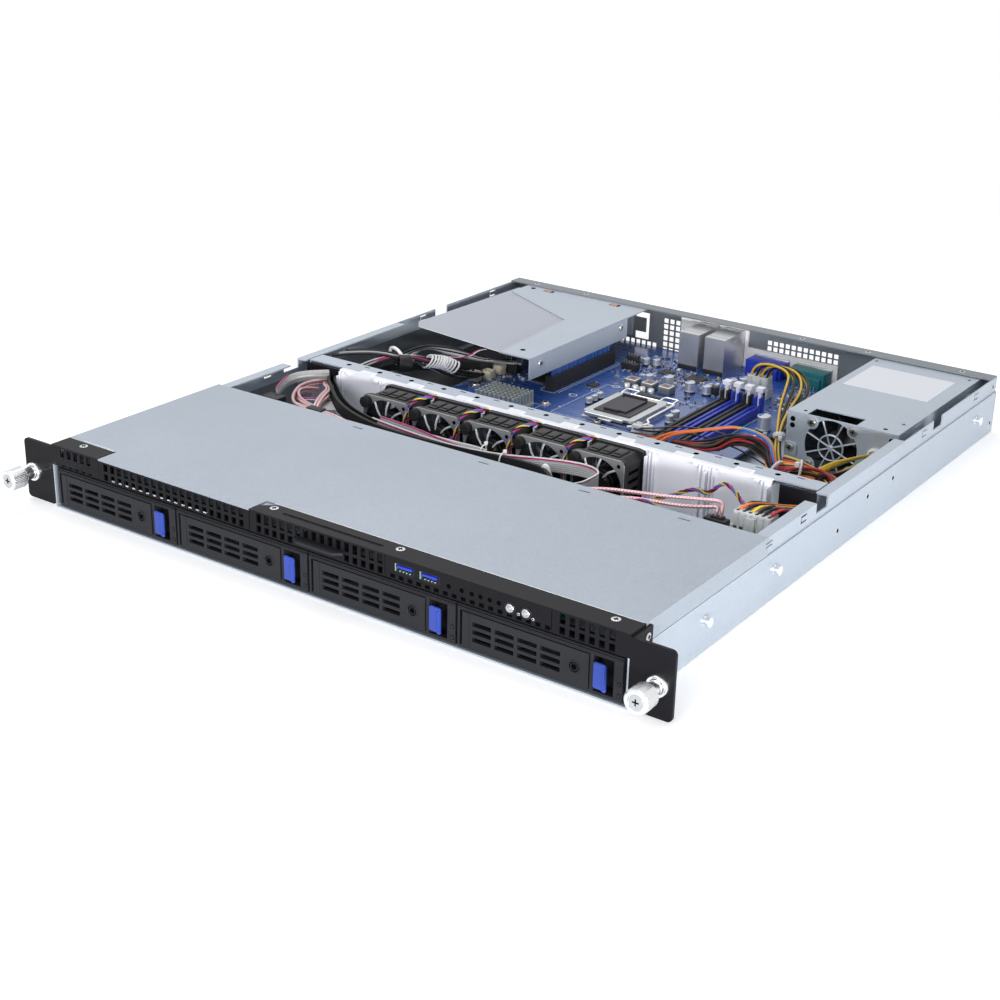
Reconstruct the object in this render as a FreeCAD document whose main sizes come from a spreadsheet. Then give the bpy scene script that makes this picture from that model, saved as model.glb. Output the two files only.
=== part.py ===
import FreeCAD, Part
import math
import os
import re

import Sketcher

# A 1U rack server with its rear lid off: four hot-swap bays in front, a row of
# five fans behind them, the mainboard and the power supply at the back.
# Lengths are millimetres. Formulas measure X from the middle to the right, Y from
# the front panel's face to the back and Z up from the floor the server stands on.
# Every piece's placement then moves the middle of the footprint to Y = 0.

DIMENSIONS = (
    # Body
    ("width", 430.0),
    ("height", 43.0),
    ("depth", 520.0),
    ("sheet", 1.0),
    ("ridge", 31.0),
    ("wall_flange", 8.0),
    ("flange_end", 350.0),
    ("rear_flange", 12.0),
    ("knob_reach", 23.0),
    ("rear_reach", 6.0),
    ("lip_gap", 0.4),
    ("wall_notch", 16.0),
    ("wall_notch_depth", 7.0),
    ("front_notch", 216.0),
    ("rear_notch", 399.0),
    ("hook_long", 8.0),
    ("hook_tall", 5.0),
    ("hook_slot", 1.2),
    ("hook_height", 35.5),
    ("stud_radius", 2.6),
    ("stud_reach", 5.0),
    ("stud_height", 20.0),
    ("stud_front", 77.0),
    ("stud_middle", 160.0),
    ("stud_rear", 480.0),
    # Rack ears and thumbscrews
    ("rack_width", 482.6),
    ("rack_holes", 465.1),
    ("ear_sheet", 2.0),
    ("ear_low", 1.0),
    ("ear_height", 40.5),
    ("ear_corner", 3.0),
    ("ear_leg", 19.0),
    ("thumb_height", 20.3),
    ("knob_radius", 7.2),
    ("knob_length", 12.0),
    ("neck_radius", 4.2),
    ("shaft_radius", 2.9),
    ("tip_radius", 2.4),
    ("shaft_end", 10.0),
    ("turn_gap", 0.4),
    # Front panel and cover
    ("flange_depth", 15.0),
    ("cover_gap", 0.5),
    ("cover_end", 150.0),
    ("joggle", 9.0),
    ("cover_slot", 8.0),
    ("return_depth", 12.0),
    ("blank_start", 172.0),
    ("blank_width", 127.4),
    ("blank_gap", 0.2),
    ("vent_pitch", 6.04),
    ("vent_width", 3.6),
    ("vent_low", 0.8),
    ("vent_low_height", 4.2),
    ("vent_high", 6.8),
    ("vent_rim", 1.2),
    ("usb_width", 13.2),
    ("usb_height", 5.2),
    ("usb_depth", 14.0),
    ("usb_low", 34.4),
    ("usb_left", 64.3),
    ("usb_pitch", 17.2),
    ("button_radius", 2.7),
    ("button_gap", 0.3),
    ("button_height", 35.4),
    ("button_reach", 1.2),
    ("button_left", 141.5),
    ("button_pitch", 10.2),
    ("tag_left", -9.0),
    ("tag_width", 36.4),
    ("tag_height", 33.6),
    ("tag_thick", 1.6),
    ("tag_reach", 5.0),
    ("tag_length", 62.0),
    ("tag_gap", 0.3),
    ("front_board_lift", 2.0),
    ("front_board_depth", 30.0),
    ("board_thick", 1.6),
    # Drive cage and trays
    ("cage_start", 5.0),
    ("cage_room", 1.3),
    ("cage_end", 166.0),
    ("ledge", 2.4),
    ("tray_lift", 2.0),
    ("tray_height", 25.8),
    ("tray_gap", 0.3),
    ("deck_gap", 0.5),
    ("tray_length", 155.0),
    ("bezel_face", 0.6),
    ("bezel_depth", 10.0),
    ("rail_thick", 1.2),
    ("rail_height", 19.0),
    ("rail_lip", 8.0),
    ("handle_span", 82.4),
    ("handle_left", 1.8),
    ("handle_low", 4.1),
    ("handle_tall", 20.0),
    ("handle_skin", 2.6),
    ("handle_depth", 6.2),
    ("handle_gap", 0.4),
    ("pivot_radius", 3.0),
    ("slot_width", 12.4),
    ("slot_pitch", 14.7),
    ("slot_tall", 2.6),
    ("slot_rise", 4.6),
    ("slot_inset", 8.4),
    ("slot_low", 3.7),
    ("latch_width", 8.4),
    ("latch_tall", 16.0),
    ("latch_travel", 3.0),
    ("latch_gap", 0.5),
    ("latch_inset", 17.2),
    ("recess_depth", 8.0),
    # Fan row
    ("fan_size", 40.0),
    ("fan_depth", 28.0),
    ("fan_pitch", 43.5),
    ("fan_front", 204.0),
    ("fan_first", -107.5),
    ("fan_bore", 18.6),
    ("fan_corner", 2.5),
    ("fan_hub", 10.0),
    ("fan_strut", 2.0),
    ("rotor_gap", 0.5),
    ("blade_thick", 1.2),
    ("bracket_thick", 2.0),
    ("bracket_rib", 1.4),
    ("rib_reach", 4.5),
    ("bar_start", 236.0),
    ("bar_width", 14.0),
    ("bar_lip", 8.0),
    ("bar_room", 1.0),
    ("clip_width", 12.0),
    ("clip_thick", 0.8),
    ("clip_reach", 3.5),
    # Mainboard
    ("board_left", -144.0),
    ("board_size", 244.0),
    ("board_lift", 7.0),
    ("board_room", 1.0),
    ("standoff_radius", 3.0),
    ("socket_x", -7.0),
    ("socket_back", 154.0),
    ("socket_size", 42.0),
    ("socket_tall", 3.5),
    ("frame_wide", 43.0),
    ("frame_long", 58.0),
    ("frame_rim", 6.0),
    ("plate_thick", 1.5),
    ("lever_wire", 1.2),
    ("memory_left", 42.8),
    ("memory_pitch", 9.2),
    ("memory_back", 91.0),
    ("memory_length", 140.0),
    ("memory_width", 6.5),
    ("memory_tall", 7.0),
    ("memory_tower", 13.0),
    ("memory_groove", 1.8),
    ("expansion_back", 59.0),
    ("expansion_length", 90.0),
    ("expansion_width", 7.6),
    ("expansion_tall", 11.0),
    ("card_thick", 1.6),
    ("card_grip", 7.0),
    ("sink_x", -88.0),
    ("sink_back", 198.0),
    ("sink_wide", 36.0),
    ("sink_long", 27.0),
    ("sink_base", 3.0),
    ("sink_tall", 12.0),
    ("sink_pin", 2.0),
    ("sink_pitch", 4.25),
    ("port_width", 17.6),
    ("port_depth", 37.0),
    ("port_tall", 29.5),
    ("port_left", -32.2),
    ("port_pitch", 23.0),
    ("serial_width", 31.0),
    ("serial_tall", 12.5),
    ("serial_depth", 17.0),
    ("serial_left", 18.2),
    ("serial_pitch", 36.6),
    ("shell_width", 16.6),
    ("shell_tall", 8.0),
    ("port_gap", 0.3),
    # Riser
    ("riser_left", -196.0),
    ("riser_right", -78.5),
    ("riser_front", 339.0),
    ("riser_drop", 16.0),
    ("film_thick", 0.5),
    # Power supply
    ("supply_width", 81.5),
    ("supply_length", 160.0),
    ("supply_room", 9.5),
    ("supply_top_gap", 0.5),
    ("supply_sheet", 0.8),
    ("supply_fan_x", 34.0),
    ("supply_bore", 19.4),
    ("grille_wire", 1.1),
    ("grille_ring", 9.6),
    ("inlet_width", 27.0),
    ("inlet_tall", 19.0),
    ("inlet_depth", 16.0),
    # Plugs and cable runs
    ("plug_long", 52.0),
    ("plug_wide", 10.0),
    ("plug_tall", 17.0),
    ("main_bundle", 4.5),
    ("side_bundle", 3.5),
    ("sleeve_thick", 3.0),
    ("sleeve_tall", 11.0),
    ("gasket_thick", 1.5),
)

doc = FreeCAD.newDocument("RackServer")
dims = doc.addObject("Spreadsheet::Sheet", "Dims")
for line, (alias, number) in enumerate(DIMENSIONS, 1):
    dims.set(f"A{line}", alias)
    dims.set(f"B{line}", str(number))
    dims.setAlias(f"B{line}", alias)
doc.recompute()

ALIASES = {alias for alias, number in DIMENSIONS}
V = FreeCAD.Vector
NODES = []

# Formulas that several pieces share
HALF = "(width / 2)"
INSIDE = "(width / 2 - sheet)"
LID = "(height - sheet)"
DECK = "(tray_lift + tray_height + deck_gap + sheet)"
SHIFT = "((knob_reach - depth - rear_reach) / 2)"
PITCH = "((width / 2 - 1.5 * sheet - cage_room) / 2)"
TRAY = f"({PITCH} - sheet - 2 * tray_gap)"
BLANK_END = "(blank_width - blank_start)"
FAN_BACK = "(fan_front + fan_depth)"
FAN_AXIS = "(sheet + fan_size / 2)"
BOARD_TOP = "(board_lift + board_thick)"
BOARD_BACK = "(depth - sheet - board_room)"
SUPPLY_LEFT = f"({HALF} - supply_room - supply_width)"
SUPPLY_FRONT = "(depth - sheet - supply_length)"
SUPPLY_TOP = f"({LID} - supply_top_gap)"
SUPPLY_AXIS = f"((sheet + {SUPPLY_TOP}) / 2)"
BAR_TOP = LID
EXPANSION_X = "(riser_right - sheet - card_thick / 2)"


def formula(text):
    """Put the sheet's name before every dimension in a formula."""

    def named(word):
        return "Dims." + word.group() if word.group() in ALIASES else word.group()

    return re.sub(r"[a-z][a-z_0-9]*", named, str(text))


def measure(text):
    """Work a formula out in millimetres."""
    result = dims.evalExpression(formula(text))
    return float(getattr(result, "Value", result))


def bind(thing, **formulas):
    """Tie properties of an object to formulas; a double underscore stands for a dot."""
    for name, text in formulas.items():
        thing.setExpression(name.replace("__", "."), formula(text))
    return thing


def node(thing, label, x="0", z="0"):
    """Name a finished sub-part and place it in the server."""
    thing.Label = label
    bind(thing, Placement__Base__x=x, Placement__Base__y=SHIFT, Placement__Base__z=z)
    NODES.append(thing)
    return thing


# Part primitives and booleans


def box(name, x, y, z, dx, dy, dz):
    """A block from its lower front left corner and its three sizes."""
    block = doc.addObject("Part::Box", name)
    bind(block, Length=dx, Width=dy, Height=dz)
    return bind(block, Placement__Base__x=x, Placement__Base__y=y, Placement__Base__z=z)


TURNS = {
    "x": FreeCAD.Rotation(V(0, 1, 0), 90),
    "y": FreeCAD.Rotation(V(1, 0, 0), -90),
    "z": FreeCAD.Rotation(),
}


def stub(name, axis, x, y, z, radius, length):
    """A short many-sided bar that starts at a point and runs along +X, +Y or +Z."""
    bar = doc.addObject("Part::Prism", name)
    bar.Polygon = 12
    bar.Placement = FreeCAD.Placement(V(), TURNS[axis])
    bind(bar, Circumradius=radius, Height=length)
    return bind(bar, Placement__Base__x=x, Placement__Base__y=y, Placement__Base__z=z)


def fuse(name, pieces):
    """Join pieces into one solid."""
    joined = doc.addObject("Part::MultiFuse", name)
    joined.Shapes = pieces
    joined.Refine = True
    return joined


def group(name, pieces):
    """Keep pieces as separate solids of one node."""
    together = doc.addObject("Part::Compound", name)
    together.Links = pieces
    return together


def cut(name, base, tools):
    """Take one or more pieces out of a base."""
    left = doc.addObject("Part::Cut", name)
    left.Base = base
    left.Tool = tools[0] if len(tools) == 1 else group(name + "Tools", tools)
    return left


# Bodies, sketches and their features

PLANES = {"top": "XY_Plane", "front": "XZ_Plane", "side": "YZ_Plane"}


def body(name):
    """Start a sub-part that is made from sketches."""
    return doc.addObject("PartDesign::Body", name)


def origin(part, role):
    """One of a body's own origin planes or axes."""
    return next(item for item in part.Origin.OriginFeatures if item.Role == role)


def sketch(part, plane, level):
    """An empty sketch on a plane at a level along +Z, +Y or +X."""
    drawing = part.newObject("Sketcher::SketchObject", part.Name + "Sketch")
    drawing.AttachmentSupport = (origin(part, PLANES[plane]), [""])
    drawing.MapMode = "FlatFace"
    sign = "-" if plane == "front" else ""
    return bind(drawing, AttachmentOffset__Base__z=f"{sign}({level})")


def fix(drawing, kind, text, *place):
    """Add one dimension to a sketch and tie it to a formula."""
    index = drawing.addConstraint(Sketcher.Constraint(kind, *place, measure(text)))
    drawing.setExpression(f"Constraints[{index}]", formula(text))


def outline(drawing, points):
    """Add a closed outline of straight edges through points given as formulas."""
    spots = [V(measure(x), measure(y), 0) for x, y in points]
    first = drawing.GeometryCount
    count = len(points)
    for i in range(count):
        drawing.addGeometry(Part.LineSegment(spots[i], spots[(i + 1) % count]))
    for i in range(count):
        after = first + (i + 1) % count
        drawing.addConstraint(Sketcher.Constraint("Coincident", first + i, 2, after, 1))
    for i, (x, y) in enumerate(points):
        fix(drawing, "DistanceX", x, -1, 1, first + i, 1)
        fix(drawing, "DistanceY", y, -1, 1, first + i, 1)
    return drawing


def rectangle(drawing, x, y, dx, dy):
    """Add a rectangle from its lower left corner and its two sizes."""
    right = f"({x}) + ({dx})"
    top = f"({y}) + ({dy})"
    return outline(drawing, ((x, y), (right, y), (right, top), (x, top)))


def circle(drawing, x, y, radius):
    """Add a circle."""
    spot = V(measure(x), measure(y), 0)
    index = drawing.addGeometry(Part.Circle(spot, V(0, 0, 1), measure(radius)))
    fix(drawing, "DistanceX", x, -1, 1, index, 3)
    fix(drawing, "DistanceY", y, -1, 1, index, 3)
    fix(drawing, "Radius", radius, index)
    return drawing


def polygon(drawing, x, y, radius, count):
    """Add a regular polygon with one corner on its X axis."""
    corners = []
    for i in range(count):
        angle = 2 * math.pi * i / count
        across = f"({x}) + {math.cos(angle):.5f} * ({radius})"
        along = f"({y}) + {math.sin(angle):.5f} * ({radius})"
        corners.append((across, along))
    return outline(drawing, corners)


def rounded(drawing, x, y, dx, dy, radius):
    """Add a rectangle with four round corners."""
    left, low, wide, tall, bend = (measure(text) for text in (x, y, dx, dy, radius))
    centres = ((left + wide - bend, low + bend), (left + wide - bend, low + tall - bend))
    centres += ((left + bend, low + tall - bend), (left + bend, low + bend))
    first = drawing.GeometryCount
    for i, (cx, cy) in enumerate(centres):
        round_edge = Part.Circle(V(cx, cy, 0), V(0, 0, 1), bend)
        start = math.pi * (i - 1) / 2
        drawing.addGeometry(Part.ArcOfCircle(round_edge, start, start + math.pi / 2))
    ends = [(drawing.getPoint(first + i, 1), drawing.getPoint(first + i, 2)) for i in range(4)]
    for i in range(4):
        drawing.addGeometry(Part.LineSegment(ends[i][1], ends[(i + 1) % 4][0]))
    for i in range(4):
        side = first + 4 + i
        drawing.addConstraint(Sketcher.Constraint("Tangent", first + i, 2, side, 1))
        drawing.addConstraint(Sketcher.Constraint("Tangent", side, 2, first + (i + 1) % 4, 1))
    for i in range(3):
        drawing.addConstraint(Sketcher.Constraint("Equal", first, first + i + 1))
    drawing.addConstraint(Sketcher.Constraint("Vertical", first + 4))
    drawing.addConstraint(Sketcher.Constraint("Horizontal", first + 5))
    fix(drawing, "Radius", radius, first)
    fix(drawing, "DistanceX", f"({x}) + ({radius})", -1, 1, first + 3, 3)
    fix(drawing, "DistanceY", f"({y}) + ({radius})", -1, 1, first + 3, 3)
    fix(drawing, "DistanceX", f"({x}) + ({dx}) - ({radius})", -1, 1, first + 1, 3)
    fix(drawing, "DistanceY", f"({y}) + ({dy}) - ({radius})", -1, 1, first + 1, 3)
    return drawing


def feature(part, kind, drawing, length):
    """Grow or cut a sketch's profile in the direction of the plane's + axis."""
    made = part.newObject("PartDesign::" + kind, part.Name + kind)
    made.Profile = drawing
    on_front = drawing.AttachmentSupport[0][0].Role == PLANES["front"]
    made.Reversed = on_front if kind == "Pad" else not on_front
    drawing.Visibility = False
    return bind(made, Length=length)


def pad(part, drawing, length):
    """Grow a sketch's profile into a solid."""
    return feature(part, "Pad", drawing, length)


def pocket(part, drawing, depth):
    """Cut a sketch's profile out of the body."""
    return feature(part, "Pocket", drawing, depth)


def row(part, original, axis, pitch, count):
    """Repeat a feature along one of the body's axes."""
    pattern = part.newObject("PartDesign::LinearPattern", part.Name + "Row")
    pattern.Originals = [original]
    pattern.Direction = (origin(part, axis), [""])
    pattern.Occurrences = count
    bind(pattern, Length=f"{pitch} * {count - 1}")
    part.Tip = pattern
    return pattern


def ring(part, original, count):
    """Repeat a feature round the body's Y axis."""
    pattern = part.newObject("PartDesign::PolarPattern", part.Name + "Ring")
    pattern.Originals = [original]
    pattern.Axis = (origin(part, "Y_Axis"), [""])
    pattern.Angle = 360
    pattern.Occurrences = count
    part.Tip = pattern
    return pattern


def plate(part, plane, level, x, y, dx, dy, length):
    """Grow a rectangle in one step."""
    return pad(part, rectangle(sketch(part, plane, level), x, y, dx, dy), length)


def window(part, plane, level, x, y, dx, dy, depth):
    """Cut a rectangle in one step."""
    return pocket(part, rectangle(sketch(part, plane, level), x, y, dx, dy), depth)


def both_sides(points):
    """Mirror the right half of an outline to the left."""
    return list(points) + [(f"-({x})", y) for x, y in reversed(points)]


# Body of the server


def chassis_tray():
    """The folded tray: floor, stepped side walls, their top flanges and the standoffs."""
    part = body("ChassisTray")
    flange = f"{HALF} - sheet - wall_flange"
    right = (
        (HALF, "0"),
        (HALF, "ridge"),
        (f"{HALF} - sheet", "ridge"),
        (f"{HALF} - sheet", LID),
        (flange, LID),
        (flange, f"{LID} - sheet"),
        (f"{HALF} - 2 * sheet", f"{LID} - sheet"),
        (f"{HALF} - 2 * sheet", "ridge - sheet"),
        (INSIDE, "ridge - sheet"),
        (INSIDE, "sheet"),
    )
    pad(part, outline(sketch(part, "front", "0"), both_sides(right)), "depth - sheet")
    window(part, "top", DECK, f"-{HALF}", "0", "width", "sheet", f"height - {DECK}")
    for side in (f"-({HALF} - 2 * sheet)", flange):
        wide = "wall_flange - sheet"
        window(part, "top", f"{LID} - sheet", side, "flange_end", wide, "depth", "sheet")
    notches = sketch(part, "side", f"-{HALF}")
    for start in ("front_notch", "rear_notch"):
        rectangle(notches, start, f"{LID} - wall_notch_depth", "wall_notch", "height")
    pocket(part, notches, "width")
    hooks = sketch(part, "side", f"-{HALF}")
    for start in ("front_notch - 21", "rear_notch - 20", "stud_rear - 5"):
        end = f"{start} + hook_long"
        top = "hook_height + hook_tall"
        outline(
            hooks,
            (
                (start, "hook_height"),
                (end, "hook_height"),
                (end, "hook_height + hook_slot"),
                (f"{start} + hook_slot", "hook_height + hook_slot"),
                (f"{start} + hook_slot", f"{top} - hook_slot"),
                (end, f"{top} - hook_slot"),
                (end, top),
                (start, top),
            ),
        )
    pocket(part, hooks, "width")
    bosses = sketch(part, "top", "sheet")
    for x in ("board_left + 10", "board_left + board_size / 2", "board_left + board_size - 10"):
        for y in (f"{BOARD_BACK} - 10", f"{BOARD_BACK} - 176", f"{BOARD_BACK} - 234"):
            polygon(bosses, x, y, "standoff_radius", 6)
    pad(part, bosses, "board_lift - sheet")
    return node(part, "chassis_tray")


def port_left(index):
    """Left side of a tall port stack, counted from the left."""
    return f"port_left + {index} * port_pitch"


def serial_left(index):
    """Left side of a flat port, counted from the left."""
    return f"serial_left + {index} * serial_pitch"


def rear_panel():
    """The rear wall with its vents, port cut-outs, card slot blank and top flange."""
    part = body("RearPanel")
    face = "depth - sheet"
    right = ((HALF, "0"), (HALF, "ridge"), (INSIDE, "ridge"), (INSIDE, "height"))
    pad(part, outline(sketch(part, "front", face), both_sides(right)), "sheet")
    wide = f"2 * {INSIDE}"
    plate(part, "top", LID, f"-{INSIDE}", "depth - rear_flange", wide, "rear_flange", "sheet")
    openings = sketch(part, "front", face)
    for i in range(2):
        x = f"{port_left(i)} - port_gap"
        rectangle(openings, x, BOARD_TOP, "port_width + 2 * port_gap", "port_tall + port_gap")
        x = f"{serial_left(i)} + (serial_width - shell_width) / 2 - port_gap"
        z = f"{BOARD_TOP} + (serial_tall - shell_tall) / 2 - port_gap"
        rectangle(openings, x, z, "shell_width + 2 * port_gap", "shell_tall + 2 * port_gap")
    high = f"{SUPPLY_TOP} - sheet - 6"
    rectangle(openings, f"{SUPPLY_LEFT} + 3", "sheet + 3", "supply_width - 6", high)
    card = "riser_right - 15.5"
    edge = "riser_right - 2.5"
    tab = "riser_right - 5.5"
    roof = ((edge, "35.5"), (card, "35.5"), (card, "30.9"), (tab, "30.9"))
    outline(openings, ((card, "12.7"), (edge, "12.7")) + roof + ((tab, "18.7"), (card, "18.7")))
    pocket(part, openings, "sheet")
    grid = sketch(part, "front", face)
    for column in range(3):
        rectangle(grid, f"-67.2 + {column} * 5.6", "5.4", "4.2", "3.9")
    row(part, pocket(part, grid, "sheet"), "Z_Axis", "5", 6)
    upper = sketch(part, "front", face)
    for line in range(2):
        rectangle(upper, "27.8", f"25.4 + {line} * 4.7", "3.9", "3.7")
    row(part, pocket(part, upper, "sheet"), "X_Axis", "5.2", 12)
    foot = sketch(part, "front", face)
    rectangle(foot, "-150", "7.8", "3.9", "3.7")
    row(part, pocket(part, foot, "sheet"), "X_Axis", "5.2", 15)
    return node(part, "rear_panel")


def front_cover():
    """The fixed front half of the lid, with side lips and a joggled front lip."""
    part = body("FrontCover")
    start = "flange_depth + cover_gap"
    right = (
        (HALF, "ridge + lip_gap"),
        (HALF, "height"),
    )
    inner = (
        (INSIDE, "ridge + lip_gap"),
        (INSIDE, LID),
    )
    profile = list(reversed(right)) + list(inner)
    pad(part, outline(sketch(part, "front", start), both_sides(profile)), f"cover_end - {start}")
    tongue = "blank_width"
    plate(part, "top", LID, "-blank_start", "0", tongue, f"{start} + sheet", "sheet")
    reach = f"({INSIDE} - wall_flange - sheet)"
    low = f"{LID} - sheet"
    front = f"{start} - joggle"
    plate(part, "top", low, f"-{reach}", front, f"2 * {reach}", "2 * joggle", "sheet")
    slots = sketch(part, "top", LID)
    for x in ("-86", "16", "91", "160"):
        rectangle(slots, x, "cover_end - 7", "cover_slot", "1.4")
    pocket(part, slots, "sheet")
    return node(part, "front_cover")


LOW_VENT = f"{DECK} + vent_low"
HIGH_VENT = f"{DECK} + vent_high"
HIGH_VENT_TALL = f"height - vent_rim - ({HIGH_VENT})"


def vents(part, x, count, low=True, high=True):
    """A run of vent holes in one or both rows of a front plate."""
    holes = sketch(part, "front", "0")
    if low:
        rectangle(holes, x, LOW_VENT, "vent_width", "vent_low_height")
    if high:
        rectangle(holes, x, HIGH_VENT, "vent_width", HIGH_VENT_TALL)
    return row(part, pocket(part, holes, "sheet"), "X_Axis", "vent_pitch", count)


def front_panel():
    """The black front plate above the trays, with top flanges and folded returns."""
    part = body("FrontPanel")
    plate(part, "front", "0", f"-{HALF}", DECK, "width", f"height - {DECK}", "sheet")
    floor = f"({INSIDE} - sheet)"
    plate(part, "top", DECK, f"-{floor}", "0", f"2 * {floor}", "return_depth", "sheet")
    window(part, "front", "0", "-blank_start", DECK, "blank_width", "height", "sheet")
    top = sketch(part, "top", LID)
    outline(
        top,
        (
            (f"{BLANK_END} + 1", "0"),
            (HALF, "0"),
            (HALF, "flange_depth"),
            (f"{BLANK_END} + 11", "flange_depth"),
            (f"{BLANK_END} + 1", "flange_depth - 7"),
        ),
    )
    pad(part, top, "sheet")
    left = sketch(part, "top", LID)
    edge = "-blank_start - 1"
    outline(left, ((f"-{HALF}", "0"), (edge, "0"), (edge, "flange_depth"), (f"-{HALF}", "flange_depth")))
    pad(part, left, "sheet")
    for x in (f"-{HALF}", INSIDE):
        plate(part, "top", "ridge", x, "0", "sheet", "flange_depth", f"{LID} - ridge")
    vents(part, "-207", 5, low=False)
    vents(part, "-38.8", 16, low=False)
    vents(part, "-38.8", 5, high=False)
    vents(part, "-38.8 + 11 * vent_pitch", 5, high=False)
    vents(part, "172.4", 6)
    holes = sketch(part, "front", "0")
    for i in range(2):
        rectangle(holes, f"usb_left + {i} * usb_pitch", "usb_low", "usb_width", "usb_height")
        x = f"button_left + {i} * button_pitch"
        circle(holes, x, "button_height", "button_radius + button_gap")
    x = "tag_left - tag_gap"
    z = "tag_height - tag_gap"
    rectangle(holes, x, z, "tag_width + 2 * tag_gap", "tag_thick + 2 * tag_gap")
    pocket(part, holes, "sheet")
    shelf = "tag_height - tag_gap - sheet"
    plate(part, "top", shelf, "tag_left", "0", "tag_width", "tag_length - 10", "sheet")
    window(part, "top", "height - 0.3", "-24", "6", "74", "1.8", "0.3")
    return node(part, "front_panel")


def optical_bay_blank():
    """The perforated plate that closes the slim drive bay."""
    part = body("OpticalBayBlank")
    left = "-blank_start + blank_gap"
    wide = "(blank_width - 2 * blank_gap)"
    low = f"{DECK} + 0.1"
    tall = f"{LID} - 0.1 - ({low})"
    plate(part, "front", "0", left, low, wide, tall, "sheet")
    for x in (left, f"{left} + {wide} - sheet"):
        back = f"{tall} - 2 * sheet - 1.2"
        plate(part, "front", "0", x, f"{low} + sheet + 1", "sheet", back, "return_depth")
    holes = sketch(part, "front", "0")
    rectangle(holes, "-blank_start + 4.5", LOW_VENT, "vent_width", "vent_low_height")
    rectangle(holes, "-blank_start + 4.5", HIGH_VENT, "vent_width", f"{LID} - 1.1 - ({HIGH_VENT})")
    row(part, pocket(part, holes, "sheet"), "X_Axis", "vent_pitch", 20)
    return node(part, "optical_bay_blank")


def drive_cage():
    """The steel deck over the trays and the five walls between them."""
    part = body("DriveCage")
    reach = f"(2 * {PITCH} + sheet / 2)"
    long = "cage_end - cage_start"
    plate(part, "front", "cage_start", f"-{reach}", f"{DECK} - sheet", f"2 * {reach}", "sheet", long)
    walls = sketch(part, "front", "cage_start")
    for i in range(5):
        x = f"{i - 2} * {PITCH} - sheet / 2"
        rectangle(walls, x, "sheet", "sheet", f"{DECK} - 2 * sheet")
    pad(part, walls, long)
    ledges = sketch(part, "front", "cage_start")
    for i in range(5):
        start = f"{i - 2} * {PITCH} - " + ("sheet / 2" if i == 0 else "ledge")
        wide = "ledge + sheet / 2" if i in (0, 4) else "2 * ledge"
        rectangle(ledges, start, "sheet", wide, "tray_lift - sheet")
    pad(part, ledges, long)
    return node(part, "drive_cage")


def rack_ear(label, sign):
    """One black rack ear: a rounded front plate and a leg screwed to the side."""
    part = body("Ear" + label.split("_")[0].title())
    reach = f"(rack_width / 2 - {HALF})"
    left = HALF if sign > 0 else f"-{HALF} - {reach}"
    face = sketch(part, "front", "0")
    rounded(face, left, "ear_low", reach, "ear_height", "ear_corner")
    pad(part, face, "ear_sheet")
    leg = HALF if sign > 0 else f"-{HALF} - ear_sheet"
    low = "ear_low + ear_corner"
    tall = "ear_height - ear_corner"
    plate(part, "front", "0", leg, low, "ear_sheet", tall, "ear_leg")
    hole = sketch(part, "front", "0")
    circle(hole, f"{sign} * rack_holes / 2", "thumb_height", "shaft_radius + turn_gap")
    pocket(part, hole, "ear_sheet")
    return node(part, label)


def thumbscrew(label, sign):
    """A captive thumbscrew turned about its axis: knob, neck and shaft."""
    part = body("Thumb" + label.split("_")[0].title())
    drawing = sketch(part, "top", "0")
    back = "-knob_reach + knob_length"
    outline(
        drawing,
        (
            ("0", "-knob_reach"),
            ("knob_radius", "-knob_reach"),
            ("knob_radius", back),
            ("neck_radius", back),
            ("neck_radius", "-turn_gap"),
            ("shaft_radius", "-turn_gap"),
            ("shaft_radius", "ear_sheet + turn_gap"),
            ("tip_radius", "ear_sheet + turn_gap"),
            ("tip_radius", "shaft_end"),
            ("0", "shaft_end"),
        ),
    )
    turned = part.newObject("PartDesign::Revolution", part.Name + "Turned")
    turned.Profile = drawing
    turned.ReferenceAxis = (drawing, ["V_Axis"])
    turned.Angle = 360
    return node(part, label, f"{sign} * rack_holes / 2", "thumb_height")


def rail_studs():
    """Six studs on the side walls that hang in the rack's rails."""
    studs = []
    for sign in (-1, 1):
        side = "Right" if sign > 0 else "Left"
        wall = HALF if sign > 0 else f"-{HALF} - stud_reach"
        for place in ("stud_front", "stud_middle", "stud_rear"):
            name = side + place.title().replace("_", "")
            studs.append(stub(name, "x", wall, place, "stud_height", "stud_radius", "stud_reach"))
    return node(group("RailStuds", studs), "rail_studs")


# Hot-swap trays


HANDLE_LEFT = f"(handle_left - {TRAY} / 2)"
HANDLE_PIVOT = f"({HANDLE_LEFT} + pivot_radius)"
HANDLE_END = f"({HANDLE_LEFT} + handle_span)"
HANDLE_TOP = "(handle_low + handle_tall)"
LATCH_LEFT = f"({TRAY} / 2 - latch_inset)"
RECESS_RIGHT = f"({LATCH_LEFT} + latch_width + latch_travel + latch_gap)"
TRAY_TOP = "(tray_lift + tray_height)"


def tray_x(number):
    """Middle of a tray, counted from the left."""
    return f"{number - 2.5} * {PITCH}"


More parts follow.
